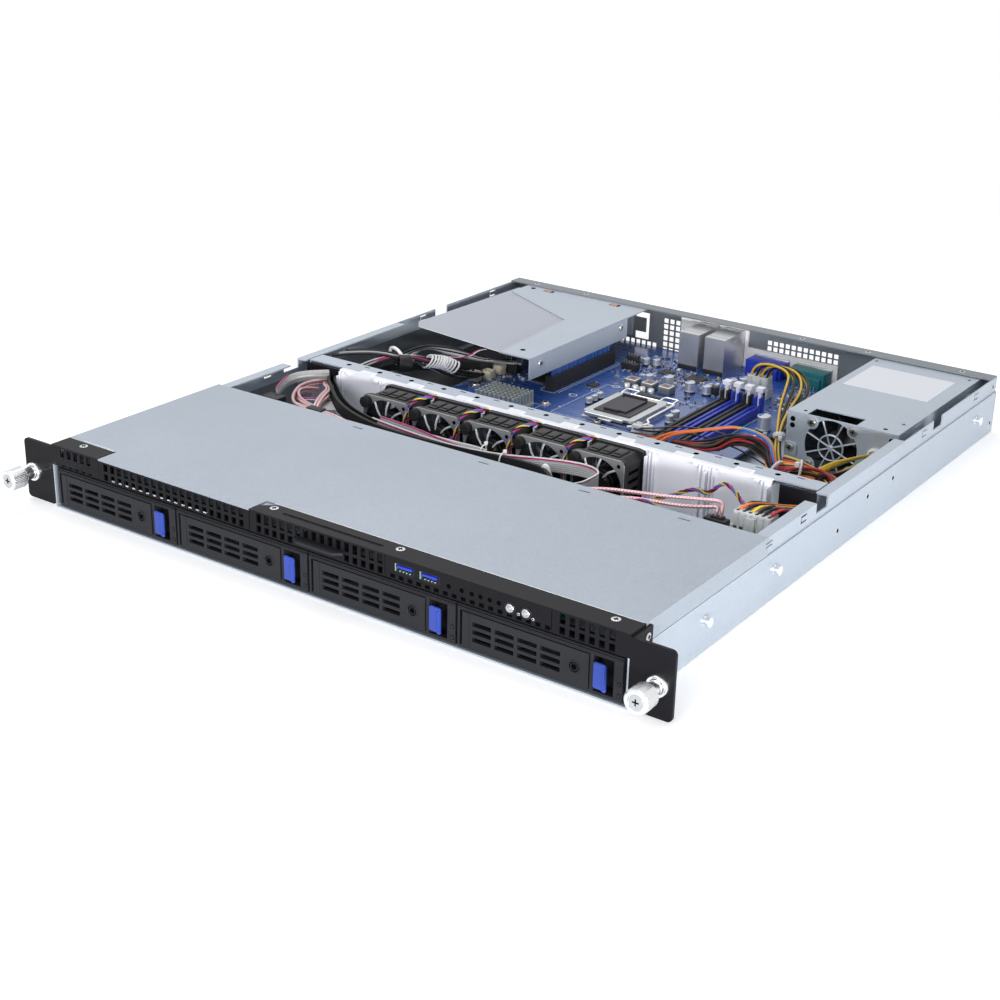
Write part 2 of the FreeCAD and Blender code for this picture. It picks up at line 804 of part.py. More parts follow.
def drive_tray(number):
    """The tray: a bezel with two recesses in front and two lipped rails behind."""
    part = body(f"DriveTray{number}")
    left = f"-{TRAY} / 2"
    deep = "bezel_depth - bezel_face"
    plate(part, "front", "bezel_face", left, "tray_lift", TRAY, "tray_height", deep)
    for x in (left, f"{TRAY} / 2 - rail_thick"):
        length = "tray_length - bezel_depth"
        plate(part, "front", "bezel_depth", x, "tray_lift", "rail_thick", "rail_height", length)
    for x in (left, f"{TRAY} / 2 - rail_lip"):
        length = "tray_length - bezel_depth"
        plate(part, "front", "bezel_depth", x, "tray_lift", "rail_lip", "rail_thick", length)
    back = "tray_length - rail_lip"
    plate(part, "top", "tray_lift", left, back, TRAY, "rail_lip", "rail_thick")
    recesses = sketch(part, "front", "bezel_face")
    x = f"{HANDLE_LEFT} - handle_gap"
    z = "handle_low - handle_gap"
    rectangle(recesses, x, z, "handle_span + 2 * handle_gap", "handle_tall + 2 * handle_gap")
    x = f"{LATCH_LEFT} - latch_gap"
    rectangle(recesses, x, z, f"{RECESS_RIGHT} - ({x})", "handle_tall + 2 * handle_gap")
    pocket(part, recesses, "recess_depth")
    air = f"{HANDLE_LEFT} + slot_inset - 2"
    window(part, "front", "bezel_face", air, "handle_low + 2", "4 * slot_pitch + 2", "handle_tall - 4", "bezel_depth")
    groove = f"{TRAY_TOP} - 1.6"
    window(part, "front", "bezel_face", left, groove, TRAY, "0.8", "1")
    return node(part, f"drive_tray_{number}", tray_x(number))


def tray_handle(number):
    """The swinging front of a tray: a slotted skin with rims and a rolled hinge end."""
    part = body(f"TrayHandle{number}")
    roll = sketch(part, "top", "handle_low")
    circle(roll, HANDLE_PIVOT, "pivot_radius", "pivot_radius")
    pad(part, roll, "handle_tall")
    wide = "handle_span - pivot_radius"
    plate(part, "front", "0", HANDLE_PIVOT, "handle_low", wide, "handle_tall", "handle_skin")
    rim = "1.2"
    for z in ("handle_low", f"{HANDLE_TOP} - {rim}"):
        plate(part, "front", "0", HANDLE_PIVOT, z, wide, rim, "handle_depth")
    plate(part, "front", "0", f"{HANDLE_END} - {rim}", "handle_low", rim, "handle_tall", "handle_depth")
    slots = sketch(part, "front", "0")
    for i in range(3):
        z = f"handle_low + slot_low + {i} * slot_rise"
        rectangle(slots, f"{HANDLE_LEFT} + slot_inset", z, "slot_width", "slot_tall")
    row(part, pocket(part, slots, "handle_skin"), "X_Axis", "slot_pitch", 4)
    return node(part, f"tray_handle_{number}", tray_x(number))


def tray_latch(number):
    """The blue sliding latch beside the handle, with a raised finger edge."""
    part = body(f"TrayLatch{number}")
    low = "handle_low + handle_tall - latch_tall - 3"
    floor = "bezel_face + recess_depth - tray_gap"
    profile = sketch(part, "top", low)
    right = f"{LATCH_LEFT} + latch_width"
    outline(
        profile,
        (
            (LATCH_LEFT, "0"),
            (f"{right} - 2.4", "-0.4"),
            (f"{right} - 1.6", "-1.4"),
            (right, "-1.4"),
            (right, floor),
            (LATCH_LEFT, floor),
        ),
    )
    pad(part, profile, "latch_tall")
    return node(part, f"tray_latch_{number}", tray_x(number))


def backplane():
    """The vertical board behind the trays with its drive sockets and power header."""
    reach = f"(2 * {PITCH})"
    board = box("BackplaneBoard", f"-{reach}", "cage_end", "sheet", f"2 * {reach}", "board_thick", f"{DECK} - sheet")
    holes = []
    sockets = []
    for i in range(1, 5):
        x = f"{tray_x(i)} - 40"
        holes.append(box(f"BackplaneHole{i}", x, "cage_end", "18", "80", "board_thick", "9"))
        x = f"{tray_x(i)} - 48"
        sockets.append(box(f"DriveSocket{i}", x, "cage_end - 8", "tray_lift + 3", "44", "8", "5"))
    shelf = box("PowerHeader", f"{INSIDE} - 38", "cage_end + board_thick", "12", "26", "26", "12")
    part = fuse("Backplane", [cut("BackplanePlate", board, holes), shelf] + sockets)
    return node(part, "backplane")


# Front panel electronics and controls


def front_io_board():
    """The small board behind the front panel with two sockets and a switch block."""
    left = "usb_left - 3"
    lift = f"({DECK} + front_board_lift)"
    board = box("FrontBoard", left, "return_depth + 1", lift, "108", "front_board_depth", "board_thick")
    pieces = [board]
    for i, x in enumerate((f"{left} + 6", f"{left} + 102")):
        y = "return_depth + front_board_depth - 4"
        pieces.append(box(f"FrontPost{i}", f"{x} - 2", y, DECK, "4", "4", "front_board_lift"))
    for i in range(2):
        x = f"usb_left + {i} * usb_pitch"
        rest = f"usb_low - {lift} - board_thick + usb_height"
        deep = "usb_depth + 8"
        shell = box(f"UsbShell{i}", x, "sheet", f"{lift} + board_thick", "usb_width", deep, rest)
        mouth = box(f"UsbMouth{i}", f"{x} + 0.5", "sheet", "usb_low + 0.4", "usb_width - 1", "9", "usb_height - 0.8")
        tongue = box(f"UsbTongue{i}", f"{x} + 1.2", "sheet + 0.6", "usb_low + 2.6", "usb_width - 2.4", "9", "1.8")
        pieces.append(fuse(f"Usb{i}", [cut(f"UsbCase{i}", shell, [mouth]), tongue]))
        x = f"button_left + {i} * button_pitch - 3"
        y = "return_depth + 1"
        pieces.append(box(f"Switch{i}", x, y, f"{lift} + board_thick", "6", "6", "5"))
    part = fuse("FrontIo", pieces)
    return node(part, "front_io_board")


def push_button(label, index):
    """A round push-button that reaches from the panel to its switch."""
    part = body(label.title().replace("_", ""))
    drawing = sketch(part, "front", "-button_reach")
    circle(drawing, "0", "0", "button_radius")
    pad(part, drawing, "return_depth + sheet")
    return node(part, label, f"button_left + {index} * button_pitch", "button_height")


def info_tag():
    """The pull-out tag: a flat card with a tapered finger tongue."""
    part = body("InfoTag")
    right = "tag_left + tag_width"
    drawing = sketch(part, "top", "tag_height")
    outline(
        drawing,
        (
            ("tag_left", "tag_length"),
            ("tag_left", "-1"),
            ("tag_left + 5", "-tag_reach"),
            (f"{right} - 5", "-tag_reach"),
            (right, "-1"),
            (right, "tag_length"),
        ),
    )
    pad(part, drawing, "tag_thick")
    return node(part, "info_tag")


# Fan row


def fan_x(number):
    """Middle of a fan bay; bay 0 and bays 6 and 7 are blank."""
    return f"(fan_first + {number - 1} * fan_pitch)"


def fan_bar():
    """The steel bridge across the body behind the fans, on two legs."""
    part = body("FanBar")
    reach = f"({INSIDE} - wall_flange - bar_room)"
    low = f"{BAR_TOP} - sheet"
    plate(part, "top", low, f"-{reach}", "bar_start", f"2 * {reach}", "bar_width", "sheet")
    back = "bar_start + bar_width - sheet"
    plate(part, "front", back, f"-{reach}", f"{BAR_TOP} - bar_lip", f"2 * {reach}", "bar_lip", "sheet")
    for x in (f"-{reach}", f"{reach} - sheet"):
        plate(part, "top", "sheet", x, "bar_start", "sheet", "bar_width", f"{BAR_TOP} - sheet")
    for x in (f"-{reach} - 8", f"{reach} - sheet"):
        plate(part, "top", "sheet", x, "bar_start", "8 + sheet", "bar_width", "sheet")
    return node(part, "fan_bar")


def fan_bracket():
    """The white fan holder: a wall with five outlets, ribs, and clips over the bar."""
    part = body("FanBracket")
    left = f"({fan_x(0)} - fan_pitch / 2)"
    wide = "8 * fan_pitch"
    face = FAN_BACK
    top = f"{BAR_TOP} - sheet"
    plate(part, "front", face, left, "sheet", wide, f"{top} - sheet", "bracket_thick")
    ribs = sketch(part, "top", "sheet")
    rectangle(ribs, left, f"{face} - rib_reach", "bracket_rib", "rib_reach")
    rib = pad(part, ribs, f"{top} - sheet - 3")
    row(part, rib, "X_Axis", "(fan_pitch - bracket_rib / 8)", 9)
    plate(part, "top", top, left, face, wide, f"bar_start - {face}", "sheet")
    outlets = sketch(part, "front", face)
    for i in range(1, 6):
        corners = ((1, 0.4), (0.4, 1), (-0.4, 1), (-1, 0.4), (-1, -0.4), (-0.4, -1), (0.4, -1), (1, -0.4))
        points = [(f"{fan_x(i)} + {a} * fan_bore", f"{FAN_AXIS} + {b} * fan_bore") for a, b in corners]
        outline(outlets, points)
    pocket(part, outlets, "bracket_thick")
    reach = f"bar_start + clip_reach - {face}"
    clip = plate(part, "top", BAR_TOP, f"{left} + 16.5", face, "clip_width", reach, "clip_thick")
    row(part, clip, "X_Axis", "fan_pitch", 8)
    return node(part, "fan_bracket")


def fan_frame(number):
    """One fan housing: a square block with a bore and a hub on four struts."""
    part = body(f"FanFrame{number}")
    half = "fan_size / 2"
    near = f"({half} - fan_corner)"
    corners = ((half, near), (near, half), (f"-{near}", half), (f"-{half}", near))
    corners += tuple((f"-({x})", f"-({y})") for x, y in corners)
    pad(part, outline(sketch(part, "front", "0"), corners), "fan_depth")
    bore = sketch(part, "front", "0")
    circle(bore, "0", "0", "fan_bore")
    pocket(part, bore, "fan_depth")
    hub = polygon(sketch(part, "front", "0"), "0", "0", "fan_hub", 12)
    strut = plate(part, "front", "0", "0", "-0.8", "fan_bore + 0.5", "1.6", "fan_strut")
    ring(part, strut, 4)
    pad(part, hub, "fan_strut")
    bind(part, Placement__Base__x=fan_x(number), Placement__Base__y="fan_front")
    return bind(part, Placement__Base__z=FAN_AXIS)


def rotor(name, label, front, axis_x, axis_z, hub):
    """A bladed fan rotor that turns about a shaft along Y."""
    part = body(name)
    start = f"{front} + fan_strut + rotor_gap"
    deep = "fan_depth - 2 * fan_strut - 2 * rotor_gap"
    disc = polygon(sketch(part, "front", start), "0", "0", hub, 10)
    pad(part, disc, deep)
    edge = sketch(part, "side", f"{hub} - 1.5")
    back = f"{start} + {deep} - 2"
    outline(
        edge,
        (
            (f"{start} + 2", "-6"),
            (f"{start} + 2", "-6 + blade_thick"),
            (back, "6"),
            (back, "6 - blade_thick"),
        ),
    )
    blade = pad(part, edge, f"fan_bore - rotor_gap - {hub} + 0.5")
    ring(part, blade, 5)
    return node(part, label, axis_x, axis_z)


def fans():
    """Five fixed fan housings in one node and five rotors."""
    frames = group("FanFrames", [fan_frame(i) for i in range(1, 6)])
    node(frames, "fan_frames")
    for i in range(1, 6):
        rotor(f"FanRotor{i}", f"fan_rotor_{i}", "fan_front", fan_x(i), FAN_AXIS, "(fan_hub - 1)")


# Mainboard


def mainboard():
    """The board itself, on the tray's standoffs."""
    part = body("Mainboard")
    front = f"{BOARD_BACK} - board_size"
    plate(part, "top", "board_lift", "board_left", front, "board_size", "board_size", "board_thick")
    return node(part, "mainboard")


SOCKET_Y = f"({BOARD_BACK} - socket_back)"
HINGE_Y = f"({SOCKET_Y} + frame_long / 2)"
PLATE_LOW = f"({BOARD_TOP} + socket_tall + 0.5)"


def cpu_socket():
    """The processor socket in its steel frame with two hinge ears at the back."""
    part = body("CpuSocket")
    wide = "socket_size"
    x = f"socket_x - {wide} / 2"
    y = f"{SOCKET_Y} - {wide} / 2"
    base = "(frame_wide + 2)"
    left = f"socket_x - {base} / 2"
    front = f"{SOCKET_Y} - frame_long / 2"
    plate(part, "top", BOARD_TOP, left, front, base, "frame_long", "1")
    plate(part, "top", BOARD_TOP, x, y, wide, wide, "socket_tall")
    for ear in (f"socket_x - {base} / 2", f"socket_x + {base} / 2 - 1.4"):
        plate(part, "top", BOARD_TOP, ear, f"{HINGE_Y} - 3", "1.4", "3", "2.2")
    return node(part, "cpu_socket")


def socket_load_plate():
    """The hinged steel plate round the processor window."""
    part = body("SocketLoadPlate")
    half = "frame_wide / 2"
    face = sketch(part, "top", PLATE_LOW)
    long = "frame_long - 6"
    front = f"{SOCKET_Y} - frame_long / 2"
    rounded(face, f"socket_x - {half}", front, "frame_wide", long, "4")
    pad(part, face, "plate_thick")
    inner = "(frame_wide - 2 * frame_rim)"
    deep = "(frame_long - 6 - 2 * frame_rim)"
    x = f"socket_x - {inner} / 2"
    window(part, "top", PLATE_LOW, x, f"{front} + frame_rim", inner, deep, "plate_thick")
    for side in ("- 19", "+ 13"):
        x = f"socket_x {side}"
        y = f"{front} + {long} - 2"
        plate(part, "top", PLATE_LOW, x, y, "6", "6.5 - lever_wire - tray_gap", "plate_thick")
    return node(part, "socket_load_plate")


def socket_cap():
    """The black protective cap clipped into the plate's window."""
    part = body("SocketCap")
    inner = "(frame_wide - 2 * frame_rim - 0.4)"
    deep = "(frame_long - 6 - 2 * frame_rim - 0.4)"
    x = f"socket_x - {inner} / 2"
    y = f"{SOCKET_Y} - frame_long / 2 + frame_rim + 0.2"
    plate(part, "top", f"{PLATE_LOW} + 0.1", x, y, inner, deep, "plate_thick + 0.6")
    plate(part, "top", f"{PLATE_LOW} + 0.6", f"{x} + 6", f"{y} + 5", f"{inner} - 12", f"{deep} - 10", "plate_thick + 1.4")
    return node(part, "socket_cap")


def socket_lever():
    """The wire lever: a hinge rod across the back, an arm down the right side and a hook."""
    part = doc.addObject("Part::Feature", "SocketLever")
    right = "socket_x + frame_wide / 2 + 3"
    left = "socket_x - frame_wide / 2 + 3"
    back = f"{HINGE_Y} - 1.5"
    z = f"{BOARD_TOP} + 2.3 + lever_wire"
    front = f"{SOCKET_Y} - frame_long / 2 - 3"
    points = (
        (left, back, z),
        (f"{right} - 4", back, z),
        (right, f"{back} - 4", z),
        (right, f"{front} + 14", z),
        (f"{right} + 3", f"{front} + 8", z),
        (f"{right} + 3", front, z),
    )
    part.Shape = bundle("socket lever", points, measure("lever_wire"))
    return node(part, "socket_lever")


def memory_x(index):
    """Middle of a memory slot, counted from the left."""
    return f"(memory_left + {index} * memory_pitch)"


MEMORY_BACK = f"({BOARD_BACK} - memory_back)"


def memory_slots():
    """Four long sockets, each with a groove, a front tower and a forked rear tower."""
    slots = []
    for i in range(4):
        part = body(f"MemorySlot{i + 1}")
        x = f"{memory_x(i)} - memory_width / 2"
        y = f"{MEMORY_BACK} - memory_length"
        plate(part, "top", BOARD_TOP, x, y, "memory_width", "memory_length", "memory_tall")
        plate(part, "top", BOARD_TOP, x, y, "memory_width", "6", "memory_tower")
        plate(part, "top", BOARD_TOP, x, f"{MEMORY_BACK} - 6", "memory_width", "6", "memory_tower")
        groove = f"{memory_x(i)} - memory_groove / 2"
        window(part, "top", f"{BOARD_TOP} + 2", groove, f"{y} + 3", "memory_groove", "memory_length", "memory_tower")
        fork = f"{memory_x(i)} - 1.6"
        window(part, "top", f"{BOARD_TOP} + 2", fork, f"{MEMORY_BACK} - 4", "3.2", "4", "memory_tower")
        slots.append(part)
    return node(group("MemorySlots", slots), "memory_slots")


def memory_latch(number):
    """A white latch in the fork at a slot's rear end, with a thumb pad on top."""
    part = body(f"MemoryLatch{number}")
    foot = f"{BOARD_TOP} + 3.2"
    top = f"{BOARD_TOP} + memory_tower + 3"
    x = memory_x(number - 1)
    stem = sketch(part, "side", f"{x} - 1.3")
    back = f"({MEMORY_BACK})"
    outline(
        stem,
        (
            (f"{back} - 3", foot),
            (f"{back} - 0.4", foot),
            (f"{back} - 0.2", top),
            (f"{back} + 0.6", f"{top} + 2"),
            (f"{back} - 3", f"{top} + 2"),
        ),
    )
    pad(part, stem, "2.6")
    pad_y = f"{back} - 4.4"
    plate(part, "top", f"{top} + 0.6", f"{x} - 2.9", pad_y, "5.8", "6", "3")
    return node(part, f"memory_latch_{number}")


def expansion_slot():
    """The long card socket on the board."""
    part = body("ExpansionSlot")
    x = f"{EXPANSION_X} - expansion_width / 2"
    y = f"{BOARD_BACK} - expansion_back - expansion_length"
    plate(part, "top", BOARD_TOP, x, y, "expansion_width", "expansion_length", "expansion_tall")
    groove = f"{EXPANSION_X} - card_thick / 2 - 0.2"
    low = f"{BOARD_TOP} + expansion_tall - card_grip"
    window(part, "top", low, groove, f"{y} + 3", "card_thick + 0.4", "expansion_length - 6", "card_grip")
    return node(part, "expansion_slot")


def riser_card():
    """The upright card in the slot with a sideways socket for the added card."""
    y = f"{BOARD_BACK} - expansion_back - expansion_length + 3.5"
    low = f"{BOARD_TOP} + expansion_tall - card_grip"
    tall = f"{LID} - 2 - ({low})"
    left = f"{EXPANSION_X} - card_thick / 2"
    card = box("RiserBoard", left, y, low, "card_thick", "expansion_length - 7", tall)
    x = f"{left} - expansion_tall"
    z = f"{LID} - 16"
    socket = box("RiserSocket", x, f"{y} + 2", z, "expansion_tall", "expansion_length - 11", "expansion_width")
    middle = f"{z} + expansion_width / 2 - 1"
    groove = box("RiserGroove", x, f"{y} + 5", middle, "card_grip", "expansion_length - 17", "2")
    part = fuse("RiserCard", [card, cut("RiserSlot", socket, [groove])])
    return node(part, "riser_card")


def riser_bracket():
    """The folded cover over the riser: an L-shaped top, a side flange and a rear flange."""
    part = body("RiserBracket")
    top = f"{LID} - sheet"
    back = "(depth - sheet)"
    face = sketch(part, "top", top)
    outline(
        face,
        (
            ("riser_right - 28", "riser_front"),
            ("riser_right", "riser_front"),
            ("riser_right", back),
            ("riser_left", back),
            ("riser_left", f"{back} - 36"),
            ("riser_right - 36", f"{back} - 78"),
        ),
    )
    pad(part, face, "sheet")
    drop = f"{top} - riser_drop"
    long = f"{back} - 40 - riser_front"
    plate(part, "side", "riser_right - sheet", "riser_front", drop, long, "riser_drop", "sheet")
    rear = f"{back} - sheet"
    wide = "riser_right - riser_left - 22"
    plate(part, "front", rear, "riser_left + 4", f"{top} - 27", wide, "27", "sheet")
    return node(part, "riser_bracket")


def riser_film():
    """The thin plastic sheet under the riser bracket."""
    part = body("RiserFilm")
    top = f"{LID} - sheet"
    back = "(depth - sheet)"
    face = sketch(part, "top", f"{top} - film_thick")
    outline(
        face,
        (
            ("riser_right - 25", "riser_front + 2"),
            ("riser_right - 25", f"{back} - 20"),
            ("riser_left - 4", f"{back} - 20"),
            ("riser_left - 8", "riser_front + 26"),
            ("riser_left", "riser_front + 16"),
        ),
    )
    pad(part, face, "film_thick")
    return node(part, "riser_film")


def heatsink():
    """The small chip cooler: a block cut into fins."""
    part = body("ChipsetHeatsink")
    x = "sink_x - sink_wide / 2"
    y = f"{BOARD_BACK} - sink_back - sink_long / 2"
    plate(part, "top", BOARD_TOP, x, y, "sink_wide", "sink_long", "sink_tall")
    gap = "sink_pitch - sink_pin"
    low = f"{BOARD_TOP} + sink_base"
    groove = window(part, "top", low, f"{x} + sink_pin", y, gap, "sink_long", "sink_tall")
    row(part, groove, "X_Axis", "sink_pitch", 8)
    return node(part, "chipset_heatsink")


def port_stacks():
    """Two tall port housings: one network jack over two bus sockets each."""
    stacks = []
    for i in range(2):
        part = body(f"PortStack{i + 1}")
        front = f"depth - port_depth"
        plate(part, "top", BOARD_TOP, port_left(i), front, "port_width", "port_depth", "port_tall")
        mouths = sketch(part, "front", "depth - 12")
        x = f"{port_left(i)} + 2"
        for z in ("1.6", "8.6"):
            rectangle(mouths, x, f"{BOARD_TOP} + {z}", "port_width - 4", "5.2")
        rectangle(mouths, x, f"{BOARD_TOP} + 15.6", "port_width - 4", "11.6")
        pocket(part, mouths, "12")
        stacks.append(part)
    return node(group("PortStacks", stacks), "port_stacks")


def flat_ports():
    """The two flat ports: a body on the board and a shell through the rear wall."""
    ports = []
    for i in range(2):
        part = body(f"FlatPort{i + 1}")
        front = f"depth - sheet - serial_depth"
        x = serial_left(i)
        plate(part, "top", BOARD_TOP, x, front, "serial_width", "serial_depth", "serial_tall")
        x = f"{x} + (serial_width - shell_width) / 2"
        z = f"{BOARD_TOP} + (serial_tall - shell_tall) / 2"
        shell = sketch(part, "front", "depth - sheet")
        right = f"{x} + shell_width"
        top = f"{z} + shell_tall"
        outline(shell, ((f"{x} + 1.4", z), (f"{right} - 1.4", z), (right, top), (x, top)))
        pad(part, shell, "sheet + rear_reach")
        mouth = f"{z} + 1.2"
        window(part, "front", "depth + 1", f"{x} + 2.4", mouth, "shell_width - 4.8", "shell_tall - 2.4", "rear_reach")
        ports.append(part)
    return node(group("FlatPorts", ports), "flat_ports")


def board_parts():
    """The chokes and the larger capacitors that stand on the board."""
    pieces = []
    for i in range(3):
        x = f"socket_x - 34.5 + {i} * 15"
        pieces.append(box(f"Choke{i}", x, f"{HINGE_Y} + 22", BOARD_TOP, "10.5", "10.5", "6"))
    cans = (
        ("socket_x - 6", "42", "4", "9"),
        ("socket_x + 14", "40", "4", "9"),
        ("socket_x + 36.5", "-22", "3.4", "8"),
        ("memory_left + 48.2", "-1", "5", "12"),
    )
    for i, (x, behind, radius, tall) in enumerate(cans):
        pieces.append(stub(f"Can{i}", "z", x, f"{HINGE_Y} + {behind}", BOARD_TOP, radius, tall))
    return node(group("BoardParts", pieces), "board_parts")


# Power supply


def power_supply():
    """The folded power supply case with a grille, a top vent and an inlet."""
    part = body("PowerSupply")
    skin = "supply_sheet"
    left = "-supply_fan_x"
    low = f"(sheet - {SUPPLY_AXIS})"
    top = f"({SUPPLY_TOP} - {SUPPLY_AXIS})"
    tall = f"({SUPPLY_TOP} - sheet)"
    plate(part, "top", low, left, SUPPLY_FRONT, "supply_width", "supply_length", tall)
    wide = f"supply_width - 2 * {skin}"
    long = f"supply_length - 2 * {skin}"
    inner = f"{SUPPLY_FRONT} + {skin}"
    window(part, "top", f"{low} + {skin}", f"{left} + {skin}", inner, wide, long, f"{tall} - 2 * {skin}")
    mouth = sketch(part, "front", SUPPLY_FRONT)
    circle(mouth, "0", "0", "supply_bore")
    pocket(part, mouth, skin)
    across, along = (f"{math.cos(math.pi / 8):.5f}", f"{math.sin(math.pi / 8):.5f}")
    reach = "(supply_bore + 0.3)"
    half = "grille_wire / 2"
    foot = ((f"-{along} * {half}", f"{across} * {half}"), (f"{along} * {half}", f"-{across} * {half}"))
    tips = [(f"{across} * {reach} + {x}", f"{along} * {reach} + {y}") for x, y in reversed(foot)]
    spoke = pad(part, outline(sketch(part, "front", SUPPLY_FRONT), [*foot, *tips]), skin)
    ring(part, spoke, 8)
    loop = sketch(part, "front", SUPPLY_FRONT)
    circle(loop, "0", "0", "grille_ring")
    circle(loop, "0", "0", "grille_ring - grille_wire")
    pad(part, loop, skin)
    window(part, "top", f"{top} - {skin}", "-19.5", f"{SUPPLY_FRONT} + {skin}", "36.5", "15", skin)
    inlet = f"{left} + supply_width - 12 - inlet_width"
    back = "depth - sheet"
    base = f"({low} + 11)"
    plate(part, "front", f"{back} - inlet_depth", inlet, base, "inlet_width", "inlet_tall", "inlet_depth")
    mouth_wide = "inlet_width - 4"
    mouth_tall = "inlet_tall - 4"
    deep = f"{back} - inlet_depth + 2"
    window(part, "front", deep, f"{inlet} + 2", f"{base} + 2", mouth_wide, mouth_tall, "inlet_depth")
    return node(part, "power_supply", f"{SUPPLY_LEFT} + supply_fan_x", SUPPLY_AXIS)


def supply_rotor():
    """The power supply's own fan rotor, behind the grille."""
    axis = f"{SUPPLY_LEFT} + supply_fan_x"
    front = f"{SUPPLY_FRONT} + supply_sheet - fan_strut"
    rotor("SupplyRotor", "supply_rotor", front, axis, SUPPLY_AXIS, "(fan_hub - 1)")


def port_gasket():
    """The tan foam strip on the inside of the rear wall round the ports."""
    part = body("PortGasket")
    low = f"{BOARD_TOP} + 0.2"
    high = f"{BOARD_TOP} + port_tall + 2"
    step = f"{port_left(1)} + port_width + 3"
    right = f"{serial_left(1)} + serial_width + 4"
    left = f"{port_left(0)} - 18"
    face = sketch(part, "front", "depth - sheet - gasket_thick")
    shelf = f"{BOARD_TOP} + serial_tall + 4"
    outline(face, ((left, low), (right, low), (right, shelf), (step, shelf), (step, high), (left, high)))
    pad(part, face, "gasket_thick")
    holes = sketch(part, "front", "depth - sheet - gasket_thick")
    for i in range(2):
        x = f"{port_left(i)} - port_gap"
        rectangle(holes, x, f"{low} - 1", "port_width + 2 * port_gap", "port_tall + 1.2")
        x = f"{serial_left(i)} - port_gap"
        rectangle(holes, x, f"{low} - 1", "serial_width + 2 * port_gap", "serial_tall + 1")
    pocket(part, holes, "gasket_thick")
    return node(part, "port_gasket")


# Plugs and cable runs


MAIN_PLUG_X = "30"
MAIN_PLUG_Y = f"({BOARD_BACK} - board_size + 1.5)"
SIDE_PLUG_X = "43.5"
SIDE_PLUG_Y = f"({BOARD_BACK} - 64)"
DRIVE_PLUG_X = f"({INSIDE} - 38)"
DRIVE_PLUG_Y = "(cage_end + 14)"


def power_plugs():
    """The three power plugs: mainboard, processor and drives."""
    main = box("MainPlug", MAIN_PLUG_X, MAIN_PLUG_Y, BOARD_TOP, "plug_long", "plug_wide", "plug_tall")
    side = box("SidePlug", SIDE_PLUG_X, SIDE_PLUG_Y, BOARD_TOP, "18.5", "plug_wide", "plug_tall")
    drive = box("DrivePlug", DRIVE_PLUG_X, DRIVE_PLUG_Y, "24", "26", "plug_wide + 2", "16")
    return node(group("PowerPlugs", [main, side, drive]), "power_plugs")


def route(points):
    """A path of straight runs joined by tangent arcs, and the arcs' radii."""
    spots = [V(*(measure(text) for text in point)) for point in points]
    edges = []
    radii = []
    start = spots[0]
    for before, corner, after in zip(spots, spots[1:], spots[2:]):
        into = corner - before
        out = after - corner
        half_turn = into.getAngle(out) / 2
        setback = 0.45 * min(into.Length, out.Length)
        bend = setback / math.tan(half_turn)
        into.normalize()
        out.normalize()
        enter = corner - into * setback
        leave = corner + out * setback
        inward = (out - into).normalize()
        centre = corner + inward * math.hypot(setback, bend)
        edges.append(Part.LineSegment(start, enter).toShape())
        edges.append(Part.Arc(enter, centre - inward * bend, leave).toShape())
        radii.append(round(bend, 1))
        start = leave
    edges.append(Part.LineSegment(start, spots[-1]).toShape())
    return Part.Wire(edges), radii


def run_along(label, points, corners, area):
    """A cable of one section along a route; the corners are offsets sideways and upwards."""
    path, radii = route(points)
    start = path.Vertexes[0].Point
    ahead = path.Edges[0].tangentAt(path.Edges[0].FirstParameter)
    aside = ahead.cross(V(0, 0, 1)).normalize()
    up = aside.cross(ahead)
    ring_points = [start + aside * a + up * b for a, b in corners]
    section = Part.makePolygon(ring_points + ring_points[:1])
    tube = path.makePipeShell([section], True, False)
    if abs(tube.Volume / (area * path.Length) - 1) > 0.03:
        raise ValueError(f"{label}: volume {tube.Volume:.0f}, section times length {area * path.Length:.0f}")
    print(f"{label}: length {path.Length:.0f} mm, bend radii {radii}")
    return tube


def bundle(label, points, radius):
    """A six-sided bundle of wires along a route."""
    corners = [(radius * math.cos(a * math.pi / 3), radius * math.sin(a * math.pi / 3)) for a in range(6)]
    return run_along(label, points, corners, 1.5 * math.sqrt(3) * radius**2)


def sleeve(label, points, thick, tall):
    """A flat cable on its edge along a route."""
    corners = ((-thick / 2, -tall / 2), (thick / 2, -tall / 2), (thick / 2, tall / 2), (-thick / 2, tall / 2))
    return run_along(label, points, corners, thick * tall)


